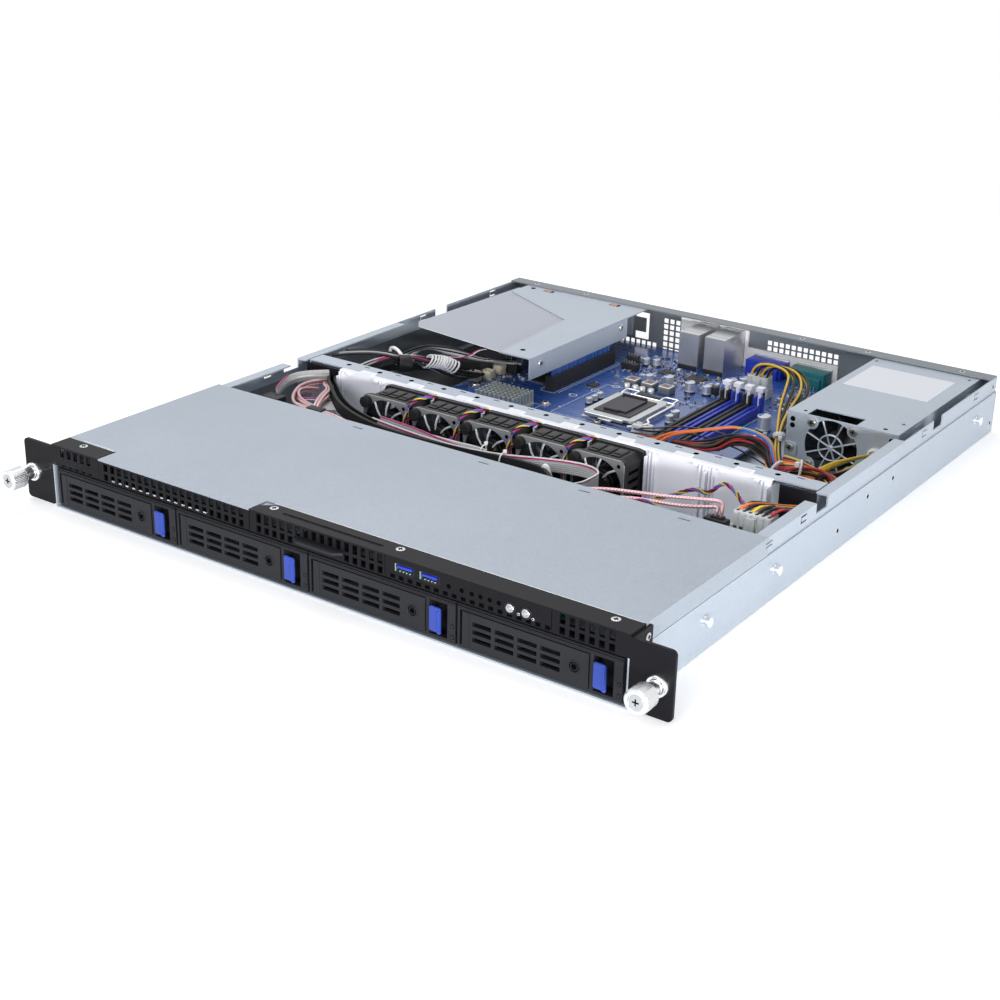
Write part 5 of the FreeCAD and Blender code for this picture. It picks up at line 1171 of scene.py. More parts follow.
@dataclass
class Mainboard:
    """The blue board with its socket, slots, ports, coolers and small parts."""

    top: float = BOARD_TOP
    seed: int = 11
    print_width: float = 0.35
    clear_margin: float = 1.5
    memory_first: float = 42.8
    memory_pitch: float = 9.2
    memory_front: float = 287.0
    memory_back: float = 427.0
    socket_x: float = -7.0
    socket_y: float = 364.0

    def build(self) -> None:
        """Dress the board's nodes and add the rest."""
        dress(BOARD, "mainboard")
        dress(TIN, "port_stacks", "cpu_socket")
        dress(ZINC_AND_HIGHLIGHT, "socket_load_plate")
        dress(CAP_RESIN, "socket_cap")
        dress(CHIP, "expansion_slot")
        dress(FOAM, "port_gasket")
        dress(WHITE_MOULD, *(f"memory_latch_{k}" for k in range(1, 5)))
        self.lever()
        self.memory()
        self.cooler()
        self.tall_parts()
        self.flat_ports()
        self.stack_marks()
        self.headers()
        self.print_lines()
        self.small_parts()

    def lever(self) -> None:
        """The wire lever of the processor socket, along its route."""
        loom = Loom("socket_lever", 1.1, "lever")
        z = self.top + 3.5
        back, front = self.socket_y + 27.5, self.socket_y - 32.0
        right = self.socket_x + 24.5
        loom.wire(
            CHROME,
            [
                (self.socket_x - 18.5, back, z), (right - 4, back, z), (right, back, z), (right, back - 6, z),
                (right, front + 22, z), (right + 0.4, front + 18, z), (right + 5.4, front + 14, z - 0.6),
                (right + 0.5, front + 5, z - 1), (right - 5, front - 1, z - 1),
            ],
        )
        loom.done(("socket_lever",))
        hooks = Loom("socket_hooks", 0.75)
        for x0, x1 in ((-29.5, -19), (3.6, 15)):
            y0, y1 = back + 1.5, back + 10.5
            hooks.wire(
                CHROME,
                [
                    (x0, y0 - 3, z - 2), (x0, y0 + 2, z + 0.6), (x0, y1, z), (x0 + 1, y1, z), (x1 - 1, y1, z),
                    (x1, y1, z), (x1, y0 + 2, z + 0.6), (x1, y0 - 3, z - 2),
                ],
            )
        hooks.done()
        kit = Kit("socket_stop")
        kit.of(CHIP).block((-17.5, back + 4, self.top), (2.4, back + 8.5, z + 0.5), 0.5)
        kit.of(CHIP).block((-16, back + 3, self.top), (0.9, back + 5, z - 1), 0.4)
        kit.screw((self.socket_x - 5, self.socket_y - 34, self.top), UP, 3.2, 2.4, NICKEL)
        kit.done()
        self.cap_marks()

    def cap_marks(self) -> None:
        """The finger tabs of the protective cap and the front lip of the load plate."""
        kit = Kit("socket_cap_tabs", "load_plate")
        x, y, z = self.socket_x, self.socket_y, self.top
        kit.of(CAP_RESIN).block((x - 13, y + 13.6, z + 6), (x + 8, y + 15.8, z + 8.6), 0.4)
        kit.of(CAP_RESIN).block((x - 9, y - 19.4, z + 5.8), (x + 4, y - 17, z + 8), 0.4)
        kit.of(CHIP).block((x - 7.6, y - 19.6, z + 6), (x + 2.6, y - 19.2, z + 7.4), 0.1)
        kit.of(ZINC_AND_HIGHLIGHT).block((x - 19, y - 30.6, z + 2.6), (x + 14, y - 28.4, z + 5.4), 0.8, 3)
        kit.of(ZINC_AND_HIGHLIGHT).block((x - 6, y - 32.6, z + 2), (x + 5, y - 29.6, z + 3.6), 0.5)
        kit.done()

    def memory(self) -> None:
        """Four sockets, black and blue in turn, with a groove and end towers."""
        t = self.top
        for k in range(4):
            x = self.memory_first + k * self.memory_pitch
            finish = BLUE_PART if k % 2 else CHIP
            kit = Kit(f"memory_slot_{k + 1}")
            f, b = self.memory_front, self.memory_back
            form = kit.of(finish)
            form.block((x - 3.2, f, t), (x + 3.2, b, t + 2.4), 0.2)
            for side in (-1, 1):
                form.block((x + side * 2.1 - 1.1, f, t), (x + side * 2.1 + 1.1, b - 4.4, t + 7), 0.3)
                form.block((x + side * 2.45 - 0.8, b - 7, t), (x + side * 2.45 + 0.8, b, t + 13), 0.3)
            form.block((x - 3.2, f, t), (x + 3.2, f + 6, t + 9), 0.4)
            for k2 in range(2):
                y = f + 10.0 + k2 * 64.0
                kit.of(TIN).block((x - 1, y, t + 2.4), (x - 0.8, y + 52, t + 5.6))
                kit.of(TIN).block((x + 0.8, y, t + 2.4), (x + 1, y + 52, t + 5.6))
            kit.done({finish: ("memory_slots",)} if k == 0 else None)

    def cooler(self) -> None:
        """The chip cooler with rows of square pins, its clip and its plate."""
        kit = Kit("chipset_heatsink")
        box = [Vector(c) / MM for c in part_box("chipset_heatsink")]
        x0, x1 = box[0].x, box[1].x
        y0, y1 = box[0].y - PANEL_TO_ROW, box[1].y - PANEL_TO_ROW
        z0, z1 = box[0].z, box[1].z
        kit.of(FINS).block((x0, y0, z0), (x1, y1, z0 + 3), 0.2)
        for i in range(9):
            for j in range(7):
                px = x0 + 0.4 + i * (x1 - x0 - 2.8) / 8
                py = y0 + 0.4 + j * (y1 - y0 - 2.4) / 6
                kit.of(FINS).block((px, py, z0 + 2.6), (px + 2, py + 1.6, z1))
        for x, y in ((x0 - 3, y1 - 2), (x1 + 3, y0 + 2)):
            kit.of(WHITE_MOULD).turned((x, y, self.top), UP, [(2.6, 0), (2.6, 4), (1.8, 6.5), (0, 7)], 20)
        kit.done({FINS: ("chipset_heatsink",)})

    def tall_parts(self) -> None:
        """Chokes with a red spot, and capacitors with a coloured mark."""
        t = self.top
        kit = Kit("board_parts")
        for x, y in ((-36.2, 420.2), (-21.2, 420.2), (-6.2, 420.2)):
            kit.of(CHOKE).block((x - 5.2, y - 5.2, t), (x + 5.2, y + 5.2, t + 5.8), 0.7)
            kit.of(CAN).block((x - 4.9, y - 4.9, t + 5.6), (x + 4.9, y + 4.9, t + 5.95), 0.15)
            kit.of(CHOKE).block((x - 3.5, y - 3.5, t + 5.8), (x + 3.5, y + 3.5, t + 6), 0.08)
            kit.of(RED).turned((x, y, t + 5.98), UP, [(1.9, 0), (1.7, 0.1), (0, 0.12)], 16)
        for x in (-35.4, -27.9, -21.7, -14.1):
            kit.of(TIN).turned((x, 410, t), UP, [(2.9, 0), (2.9, 3.6), (2.2, 4.6), (0, 4.9)], 20)
        cans = (
            (-28.6, 431.5, 3.2, 8), (-13, 435, 4, 9), (7, 433, 4, 9), (29.5, 371, 3.4, 8), (91, 392, 5, 12),
            (-39.5, 362, 2.7, 5.6), (-39.5, 369.5, 2.7, 5.6), (-39.5, 377, 2.7, 5.6), (29.5, 362.5, 3, 7),
            (-54, 470, 3.2, 6.5), (-46, 473, 3.2, 6.5), (30, 458, 4, 9.5), (36, 467, 4, 9.5),
            (20, 436, 3.6, 8),
        )
        for x, y, r, tall in cans:
            kit.of(CHIP).turned((x, y, t), UP, [(0, 0), (r + 0.25, 0), (r + 0.25, 1.2), (r, 1.3)], 20)
            kit.of(CAN).turned(
                (x, y, t), UP,
                [(r, 1.2), (r, 2), (r - 0.25, 2.3), (r, 2.6), (r, tall - 0.5), (r - 0.5, tall), (0, tall)],
                24,
            )
            kit.of(BLUE).sheet(
                [
                    (x + r * 0.86 * math.cos(a), y + r * 0.86 * math.sin(a))
                    for a in (1.9, 2.3, 2.7, 3.14, 3.6, 4, 4.4)
                ],
                Side.Z, t + tall - 0.05, 0.12,
            )
        kit.done({CHOKE: ("board_parts",)})

    def flat_ports(self) -> None:
        """The blue and the teal port with their rear shells and screws."""
        kit = Kit("flat_ports")
        for x, finish in ((18.2, BLUE_PART), (54.8, TEAL_PART)):
            t = self.top
            kit.of(finish).block((x, 502, t), (x + 31, 516.6, t + 12), 0.4)
            kit.of(finish).block((x + 2, 499.5, t), (x + 29, 502.4, t + 8.5), 0.4)
            kit.of(TIN).block((x, 516.6, t), (x + 31, 517.8, t + 12.5), 0.2)
            kit.of(TIN).sheet(
                [(x + 7, t + 2), (x + 24, t + 2), (x + 25.6, t + 10.4), (x + 5.4, t + 10.4)], Side.Y, 517.8,
                7.6, 0.5,
            )
            kit.of(finish).sheet(
                [(x + 7.9, t + 2.8), (x + 23.1, t + 2.8), (x + 24.6, t + 9.7), (x + 6.4, t + 9.7)], Side.Y,
                524.6, 0.9,
            )
            for i in range(5):
                for j in range(2):
                    kit.hole((x + 9.6 + i * 2.9 + j * 1.2, 525.5, t + 4.8 + j * 3), REARWARD, 0.55, 0.02, 8)
            for dx in (3, 28):
                kit.of(ZINC_AND_HIGHLIGHT).rod(
                    (x + dx, 517.6, t + 6.3), (x + dx, 523, t + 6.3), 2.6, sides=6, edge=0.3,
                )
                kit.hole((x + dx, 523, t + 6.3), REARWARD, 1.3, 0.02, 12)
            for i in range(9):
                kit.of(TIN).block((x + 4.0 + i * 2.6, 498.2, t), (x + 4.5 + i * 2.6, 500.4, t + 2.6))
        kit.done({TEAL_PART: ("flat_ports",)})

    def stack_marks(self) -> None:
        """Seams, spring tabs and jack tongues on the tall port stacks."""
        kit = Kit("port_stacks")
        for x in (-32.2, -9.2):
            t = self.top
            kit.of(CHIP).block((x + 0.4, 481.6, t), (x + 17.2, 483.1, t + 3.4), 0.2)
            kit.of(OPENING_SHADE).block((x + 0.2, 489, t + 29.48), (x + 17.4, 489.25, t + 29.53))
            for side, sx in ((-1, x), (1, x + 17.6)):
                for z in (7, 15.5, 23):
                    kit.of(TIN).block(
                        (sx + side * 0.05 - 0.2, 500, t + z), (sx + side * 0.05 + 0.2, 507, t + z + 2.4),
                        0.15,
                    )
            for z in (3.6, 10.6):
                kit.of(BLUE_PART).block((x + 3.3, 512.5, t + z), (x + 14.3, 518.2, t + z + 1.3), 0.1)
            kit.of(GREEN).block((x + 2.6, 519.4, t + 26), (x + 4.2, 519.95, t + 27), 0.1)
            kit.of(YELLOW).block((x + 13.4, 519.4, t + 26), (x + 15, 519.95, t + 27), 0.1)
        kit.done()

    def headers(self) -> None:
        """Cream and black headers, copper-ringed screw holes and larger chips."""
        kit = Kit("board_headers")
        t = self.top
        for x, y in ((-140, 354), (-133, 363), (-134.5, 379.5)):
            kit.of(CREAM_PART).block((x - 4.2, y - 3.4, t), (x + 4.2, y - 2.4, t + 7.4), 0.2)
            kit.of(CREAM_PART).block((x - 4.2, y + 2.4, t), (x + 4.2, y + 3.4, t + 7.4), 0.2)
            for side in (-1, 1):
                kit.of(CREAM_PART).block(
                    (x + side * 3.8 - 0.5, y - 3.4, t), (x + side * 3.8 + 0.5, y + 3.4, t + 7.4), 0.2,
                )
            kit.of(CREAM_PART).block((x - 4, y - 3.2, t), (x + 4, y + 3.2, t + 2.4))
            for k in range(3):
                kit.of(TIN).block((x - 2.6 + k * 2.2, y - 0.3, t + 2), (x - 2.0 + k * 2.2, y + 0.3, t + 6.6))
        for x, y, w, d, h in (
            (-125, 386, 9, 6, 9), (-133.5, 392, 9, 6, 9), (-58, 452, 14, 5, 6), (-62, 463, 10, 5, 8.5),
            (24, 441, 6, 6, 6.5),
        ):
            kit.of(CHIP).block((x - w / 2, y - d / 2, t), (x + w / 2, y + d / 2, t + h), 0.3)
            for k in range(int(w // 2.5)):
                kit.of(TIN).block(
                    (x - w / 2 + 1.0 + k * 2.4, y - 0.3, t + h),
                    (x - w / 2 + 1.6 + k * 2.4, y + 0.3, t + h + 1.8),
                )
        for x, y in (
            (-132, 343.7), (-65.6, 342.5), (92, 284), (-20, 284), (90, 508), (-134, 508), (-20, 490),
        ):
            kit.of(COPPER).turned((x, y, t), UP, [(4.2, 0), (4.1, 0.08), (2.1, 0.08)], 28)
            kit.screw((x, y, t + 0.05), UP, 2.9, 1.6)
        for x, y, w in (
            (-4, 462, 14), (-30, 462, 11), (-100, 388, 17), (82, 470, 9), (14, 300, 7), (-60, 400, 8),
        ):
            kit.of(CHIP).block((x - w / 2, y - w / 2, t + 0.2), (x + w / 2, y + w / 2, t + 1.5), 0.15)
            pins = int(w)
            for k in range(pins):
                p = -w / 2 + 0.6 + k * (w - 1.2) / max(pins - 1, 1)
                kit.of(TIN).block((x + p - 0.18, y - w / 2 - 1, t), (x + p + 0.18, y + w / 2 + 1, t + 0.5))
                kit.of(TIN).block((x - w / 2 - 1, y + p - 0.18, t), (x + w / 2 + 1, y + p + 0.18, t + 0.45))
        for x in (22.6, 31.6):
            kit.of(WHITE).block((x - 4.2, 326.8, t), (x + 4.2, 332.8, t + 2.6), 0.3)
            kit.of(WHITE).block((x - 4, 327.2, t + 2), (x + 4, 331.6, t + 7.2), 0.4)
            kit.of(WHITE).block((x - 2.4, 331.4, t), (x + 2.4, 332.8, t + 8.4), 0.3)
        kit.done()

    def outline(self, form: Form, low: Spot, high: Spot) -> None:
        """Print a rectangle's outline on the board.

        Args:
            form: The form that takes the print.
            low: Left front corner.
            high: Right rear corner.
        """
        (x0, y0), (x1, y1) = low, high
        t, wide = self.top, self.print_width
        form.block((x0, y0, t), (x1, y0 + wide, t + MARK))
        form.block((x0, y1 - wide, t), (x1, y1, t + MARK))
        form.block((x0, y0, t), (x0 + wide, y1, t + MARK))
        form.block((x1 - wide, y0, t), (x1, y1, t + MARK))

    def print_lines(self) -> None:
        """Plain white outlines printed on the board."""
        kit = Kit("board_print")
        t = self.top
        form = kit.of(PRINT)
        self.outline(form, (self.socket_x - 46, 330), (self.socket_x + 40, 410))
        self.outline(form, (-110, 298), (-66, 338))
        self.outline(form, (38, 283), (76, 431))
        self.outline(form, (-86.5, 366), (-74, 462))
        for k in range(36):
            y = 370.0 + k * 2.5
            form.block((-72.6, y, t), (-71.4, y + 0.9, t + MARK))
            form.block((-89, y, t), (-87.8, y + 0.9, t + MARK))
        for x, y in ((-60, 372), (-53, 392), (-45, 410)):
            form.turned((x, y, t), UP, [(3.2, 0), (3.2, MARK), (2.6, MARK), (2.6, 0)], 24)
        kit.done()

    def small_parts(self) -> None:
        """Hundreds of tiny chip parts, kept clear of the larger ones."""
        rng = random.Random(self.seed)
        gap = self.clear_margin
        keep_out = (
            (-42, 322, 30, 400), (38, 283, 76, 431), (-109, 300, -66, 340), (-90, 362, -70, 464),
            (-36, 480, 12, 520), (14, 496, 90, 520), (28, 274, 84, 288), (40, 450, 66, 468),
            (-38, 411, 4, 426),
        )
        fields = (
            (-142, 338, -110, 400, 90), (-66, 430, -36, 500, 120), (-36, 436, 30, 480, 170),
            (66, 434, 96, 494, 110), (79, 296, 98, 430, 16), (4, 400, 34, 436, 18),
            (-140, 276, 28, 300, 60), (-140, 410, -94, 510, 40), (-64, 300, -42, 424, 12),
        )
        kit = Kit("board_chips")
        t = self.top
        for x0, y0, x1, y1, count in fields:
            for _ in range(count):
                x, y = rng.uniform(x0, x1), rng.uniform(y0, y1)
                if any(a - gap < x < c + gap and b - gap < y < d + gap for a, b, c, d in keep_out):
                    continue
                w, d = rng.choice(((1.6, 0.8), (0.8, 1.6), (2.2, 1.2), (1.2, 2.2), (3, 2.6)))
                finish = rng.choice((CERAMIC, CERAMIC, CHIP, CHIP, PRINT, TIN))
                tall = rng.uniform(0.5, 1.3)
                kit.of(TIN).block((x - w / 2, y - d / 2, t), (x + w / 2, y + d / 2, t + tall * 0.9))
                if w > d:
                    kit.of(finish).block(
                        (x - w / 2 + 0.3, y - d / 2 - 0.02, t), (x + w / 2 - 0.3, y + d / 2 + 0.02, t + tall),
                    )
                else:
                    kit.of(finish).block(
                        (x - w / 2 - 0.02, y - d / 2 + 0.3, t), (x + w / 2 + 0.02, y + d / 2 - 0.3, t + tall),
                    )
        kit.done()


@dataclass
class Riser:
    """The riser card, its folded bracket and the grey film beside it."""

    side: float = -78.5
    lid: float = 42.0
    film_edge_highlight: tuple[Point, Point] = ((-196.0, 355.0, 40.8), (-103.5, 341.0, 40.8))
    edge_steps: int = 12
    holes: tuple[Spot, ...] = ((354.0, 34.6), (470.5, 35.0))

    def build(self) -> None:
        """Dress the nodes and add rivets, holes and a painted highlight along the film's front edge."""
        dress(STEEL, "riser_bracket")
        dress(BOARD, "riser_card")
        dress(FILM, "riser_film")
        kit = Kit("riser")
        # Painted highlight: a pale rod along the film's front edge.
        start, end = (Vector(p) for p in self.film_edge_highlight)
        stops = [start + (end - start) * k / self.edge_steps for k in range(self.edge_steps + 1)]
        for here, there in zip(stops, stops[1:]):
            kit.of(PALE_LABEL_AND_HIGHLIGHT).rod(tuple(here), tuple(there), 0.22, sides=6)
        for y, z in self.holes:
            kit.of(ZINC_AND_HIGHLIGHT).turned(
                (self.side, y, z), (1, 0, 0), [(3, 0), (2.6, 0.5), (1.4, 0.5), (1.3, 0.1), (0, 0.1)], 24,
            )
            kit.hole((self.side, y, z), (1, 0, 0), 1.2, 0.12, 14)
        for x, y in ((-95.3, 354), (-186.9, 502.3)):
            kit.of(OPENING_SHADE).turned((x, y, self.lid), UP, [(2.2, 0), (2.2, MARK), (0, MARK)], 20)
        for x, y in ((-170.8, 502.6), (-105.2, 502.4)):
            kit.of(OPENING_SHADE).block((x - 4.6, y - 2.6, self.lid), (x + 4.6, y + 2.6, self.lid + MARK))
            kit.of(COPPER).block((x - 4, y - 1.9, self.lid), (x + 2.2, y + 2.2, self.lid + 2 * MARK))
        kit.done()


@dataclass
class PowerSupply:
    """The steel power supply with a spoked grille, a fan and a bare label."""

    left: float = 124.0
    right: float = 205.5
    front: float = 359.0
    top: float = 41.5
    axis_x: float = 158.0
    axis_z: float = 21.25
    inlet_low: Point = (168.5, 505.0, 14.0)
    inlet_high: Point = (191.5, 518.9, 29.0)

    def build(self) -> None:
        """Dress the case and add grille, rotor, screws, label and inlet."""
        dress(STEEL, "power_supply")
        kit = Kit("power_supply")
        x, z, f = self.axis_x, self.axis_z, self.front
        kit.of(STEEL).ring((x, f, z), FORWARD, 9.05, 0.62, 48)
        kit.of(STEEL).turned((x, f, z), FORWARD, [(2.2, -0.6), (2.2, 0.3), (1.8, 0.6), (0, 0.6)], 24)
        for k in range(8):
            a = math.tau * (k + 0.5) / 8
            c, s = math.cos(a), math.sin(a)
            kit.of(STEEL).rod((x + 1.5 * c, f, z + 1.5 * s), (x + 19.3 * c, f, z + 19.3 * s), 0.6, sides=10)
        for dx, dz in ((-15.4, 15), (15.4, 15), (-15.4, -15), (15.4, -15)):
            kit.of(STEEL).turned(
                (x + dx, f, z + dz), FORWARD, [(4.8, -0.8), (4.8, 0.02), (4.6, 0.2), (0, 0.2)], 32,
            )
            kit.screw((x + dx, f - 0.2, z + dz), FORWARD, 3, 1.2, NICKEL)
        for hx in (self.left + 4.4, self.right - 4.6):
            for hz in (36, 31.4):
                kit.hole((hx, f, hz), FORWARD, 1.9, 0.05, 18)
        kit.of(STEEL).sheet(
            [(124.4, 9.4), (133.6, 9.4), (133.6, 17.8), (131.8, 19.6), (124.4, 19.6)], Side.Y, f - 1.6, 1.55,
            0.4,
        )
        kit.screw((128.6, f - 1.6, 15.2), FORWARD, 3.2, 1.2, NICKEL)
        bush = [(0, 0), (5.2, 0), (5.2, 2.4), (4.2, 3.2), (3.4, 3.2), (3.4, 1.2), (0, 1.2)]
        kit.of(WHITE).turned((190.5, f, 23.8), FORWARD, bush, 24)
        kit.of(PALE_LABEL_AND_HIGHLIGHT).sheet([(130, 435.5), (194, 435.5), (194, 489), (130, 489)], Side.Z, self.top, 0.06)
        for px, py in ((200, 380.2), (200.5, 500), (128, 500)):
            kit.screw((px, py, self.top), UP, 2.4, 0.25, STEEL)
        kit.hole((134.6, 365, self.top), UP, 1.3, 0.03, 14)
        kit.hole((193.6, 364.6, self.top), UP, 1.6, 0.03, 14)
        self.inlet(kit)
        kit.done()
        rotor = Kit("supply_rotor", "power_rotor")
        box = [Vector(c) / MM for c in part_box("supply_rotor")]
        y0, y1 = box[0].y - PANEL_TO_ROW, box[1].y - PANEL_TO_ROW
        deep = y1 - y0
        rotor.of(FAN_BLACK).turned(
            (x, y0, z), REARWARD, [(0, 0), (8, 0), (8.8, 0.8), (8.8, deep), (0, deep)], 32,
        )
        rotor.of(FAN_BLACK).blades((x, (y0 + y1) / 2, z), 8.6, 17.2, deep * 0.9, 7, 0.8)
        rotor.done({FAN_BLACK: ("supply_rotor",)})

    def inlet(self, kit: Kit) -> None:
        """The black mains inlet in the rear recess, with its three blades.

        Args:
            kit: Kit of the power supply.
        """
        (x0, deep, z0), (x1, mouth, z1) = self.inlet_low, self.inlet_high
        shell = kit.of(CHIP)
        shell.block(self.inlet_low, (x1, deep + 1.2, z1), 0.2)
        for low, high in (
            ((x0, z0), (x1, z0 + 1.2)), ((x0, z1 - 1.2), (x1, z1)), ((x0, z0), (x0 + 1.2, z1)),
            ((x1 - 1.2, z0), (x1, z1)),
        ):
            shell.block((low[0], deep, low[1]), (high[0], mouth, high[1]), 0.2)
        shell.block((x0 + 3.4, 505.6, z0 + 2.4), (x1 - 3.4, 509, z1 - 2.4), 0.8)
        for x, z in ((173.6, 19.6), (180, 23.4), (186.4, 19.6)):
            kit.of(TIN).block((x - 1, 508, z - 2), (x + 1, 516.5, z + 2), 0.4)


@dataclass
class Wiring:
    """Power harness, plugs, ribbon, sleeve, data leads and ties."""

    board: float = BOARD_TOP
    seed: int = 87

    def build(self) -> None:
        """Lay every harness."""
        self.plugs()
        self.main_harness()
        self.processor_harness()
        self.drive_harness()
        self.ribbon_and_sleeve()
        self.data_leads()
        self.left_bundle()
        self.fan_header()

    def plug(self, kit: Kit, low: Point, high: Point, cells: int) -> None:
        """One clear plug with its upright cells, a latch and a parting step.

        Args:
            kit: Kit of the plugs.
            low: Lowest corner.
            high: Highest corner.
            cells: Number of cells in a row.
        """
        form = kit.of(CLEAR_PART)
        (x0, y0, z0), (x1, y1, z1) = low, high
        form.block(low, (x1, y1, z0 + (z1 - z0) * 0.45), 0.4)
        form.block((x0 + 0.6, y0 + 0.6, z0), (x1 - 0.6, y1 - 0.6, z1), 0.4)
        step = (x1 - x0 - 1.2) / cells
        for k in range(cells):
            cx = x0 + 0.6 + (k + 0.5) * step
            for cy in (y0 + 0.5, y1 - 0.5):
                form.block((cx - step * 0.36, cy - 0.5, z0 + 1), (cx + step * 0.36, cy + 0.5, z1 - 0.6), 0.3)
            for cy in ((y0 * 3 + y1) / 4, (y0 + y1 * 3) / 4):
                kit.hole((cx, cy, z1), UP, 1.2, 0.02, 10)
        middle = (x0 + x1) / 2
        form.block((middle - 3, y0 - 1.6, z0 + 2), (middle + 3, y0 - 0.2, z1 - 2), 0.4)

    def plugs(self) -> None:
        """The board's two plugs and the drive plug."""
        kit = Kit("power_plugs")
        self.plug(kit, (30, 275.5, self.board), (82, 285.5, self.board + 17), 12)
        self.plug(kit, (43.5, 454, self.board), (62, 464, self.board + 17), 4)
        self.plug(kit, (176, 180, 24), (202, 192, 40), 6)
        kit.done({CLEAR_PART: ("power_plugs",)})

    def main_harness(self) -> None:
        """The many-coloured bundle from the power supply to the board."""
        loom = Loom("main_harness", 0.95)
        rng = random.Random(self.seed)
        front_row = [BLACK, RED, BLACK, BROWN, YELLOW, BLACK, ORANGE, ORANGE, BLACK, RED]
        back_row = [BLACK, BLACK, RED, BLACK, YELLOW, RED, BLACK, GREEN, BLUE, BLACK]
        for row, finishes in enumerate((front_row, back_row)):
            for col, finish in enumerate(finishes):
                x, y = 34.0 + col * 4.7, 278.5 + row * 4.2
                over = 1.0 if finish in (ORANGE, BLUE, GREEN) else rng.uniform(0.15, 0.7)
                high = float(over == 1)
                side = rng.uniform(-2.5, 2.5)
                gather = (rng.uniform(-3, 3), rng.uniform(-4, 4))
                loom.wire(
                    finish,
                    [
                        (x, y, 24.5), (x + 2, y + 2.0 + 3.0 * high, 27.8 + 4.2 * high),
                        (
                            84.0 + col * 1.5 + side, 303.0 + row * 4,
                            18.0 + 7.0 * high + 11.0 * over * max(high, 0.4),
                        ),
                        (108.0 + side, 318.0 + 5.0 * over - col * 0.5, 24.0 + 13.0 * over),
                        (128.0 + 3.0 * over, 317.0 + 4.0 * over + side, 19.0 + 14.0 * over),
                        (139.0 + 2.0 * over, 303.0 + gather[1], 18.0 + 8.0 * over),
                        (152, 297.0 + gather[1], 16.0 + gather[0]),
                        (170, 304.0 + gather[1] * 0.8, 17.0 + gather[0]),
                        (183.0 + gather[0] * 0.6, 328, 17.0 + gather[1] * 0.6),
                        (190.5 + gather[0] * 0.4, 359, 22.0 + gather[1] * 0.3),
                    ],
                )
        loom.done(("power_harness",))
        ties = Kit("wire_ties")
        ties.of(WHITE).ring((148.5, 296, 20.5), (1, -0.2, -0.25), 8.2, 1, 28)
        ties.of(WHITE).ring((168.5, 289, 30), (0.9, 0.4, -0.1), 5.6, 0.9, 28)
        ties.of(WHITE).block((166.8, 283, 33), (170, 286, 36.4), 0.5)
        ties.of(WHITE).ring((118, 361, 21.2), (0.35, -0.5, -0.75), 3.5, 1, 28)
        ties.of(WHITE).ring((118.4, 360.3, 20.2), (0.35, -0.5, -0.75), 3.5, 1, 28)
        ties.of(WHITE).block((119.6, 355.4, 18.6), (122.6, 358, 21.8), 0.6)
        ties.done()

    def processor_harness(self) -> None:
        """Eight yellow and black wires from the processor plug along the supply."""
        loom = Loom("processor_harness", 0.95)
        for k in range(8):
            col, row = k % 4, k // 4
            finish = (YELLOW, BLACK)[(col + row) % 2]
            x, y = 46.2 + col * 4.4, 456.8 + row * 4.4
            fan = (col - 1.5) * 3.2
            loom.wire(
                finish,
                [
                    (x, y, 24.5), (x + 1, y + 1, 33.0 + row), (x + 16, y - 1, 37.6 - row * 2),
                    (88.0 + fan, 448.0 + fan * 0.5, 37.5 - row * 2.6), (101.0 + fan * 2, 424, 34.0 - row * 3),
                    (106.0 + fan * 1.3, 398, 28.5 - row * 2.4), (113.0 + fan * 0.5, 374, 26.0 - row * 2.4),
                    (117.6 + fan * 0.32, 362, 22.4 - row * 1.9), (119.6 + fan * 0.32, 357, 17.0 - row * 1.9),
                    (128.0 + fan * 0.4, 340, 13.0 - row * 1.6), (142.0 + fan * 0.4, 318, 12.0 + row * 2),
                    (156, 302.0 + fan * 0.5, 9.0 + row * 2),
                ],
            )
        loom.done()

    def drive_harness(self) -> None:
        """Red, black, yellow and orange wires to the drive plug and its branch."""
        loom = Loom("drive_harness", 0.95)
        colours = [ORANGE, BLACK, YELLOW, BLACK, BLACK, RED, BLACK, YELLOW, BLACK, BLACK, RED, BLACK]
        for k, finish in enumerate(colours):
            col, row = k % 6, k // 6
            x, y = 178.6 + col * 4.1, 183.4 + row * 5.4
            loom.wire(
                finish,
                [
                    (x, y, 38.6), (x + 0.8, y + 2.5, 41.2), (x + 5.0 - col * 0.6, y + 9, 42.4 - row),
                    (199.5 + col * 0.6, 208.0 + row * 3, 39.0 - row * 2.0 - col * 0.4),
                    (203.0 - row * 1.8, 228, 33.0 - col), (203.5 - row * 1.8 - col * 0.4, 244, 28.0 - col),
                    (200.0 - col * 1.5, 262, 24.0 - row * 2), (194.0 - col * 2, 284, 23.0 + row * 2.4),
                    (184.0 - col * 2, 294.0 + col, 23.0 + row * 2.2),
                    (172.0 - col, 289.0 + col * 1.4, 27.0 + row * 2),
                    (160, 292.0 + col * 1.6, 22.0 + row * 2.2),
                ],
            )
        for k, finish in enumerate([RED, BLACK, RED, RED, BLACK, YELLOW, ORANGE, RED, BLACK, YELLOW]):
            loom.wire(
                finish,
                [
                    (148, 296.0 + k * 1.4, 20.0 + k * 0.9),
                    (158.0 + k * 0.5, 286.0 + k * 0.9, 27.0 + k * 0.8),
                    (170.0 + k, 287.0 + k * 0.9, 33.0 - k * 0.4),
                    (184.0 + k * 0.6, 293.0 + k, 31.5 - k * 0.7), (194, 290.0 + k, 25.0 - k * 0.6),
                    (198.0 + k * 0.5, 276, 20.0 - k * 0.5),
                ],
            )
        for k, finish in enumerate([BLACK, YELLOW, BLACK, YELLOW, YELLOW, YELLOW, YELLOW, YELLOW]):
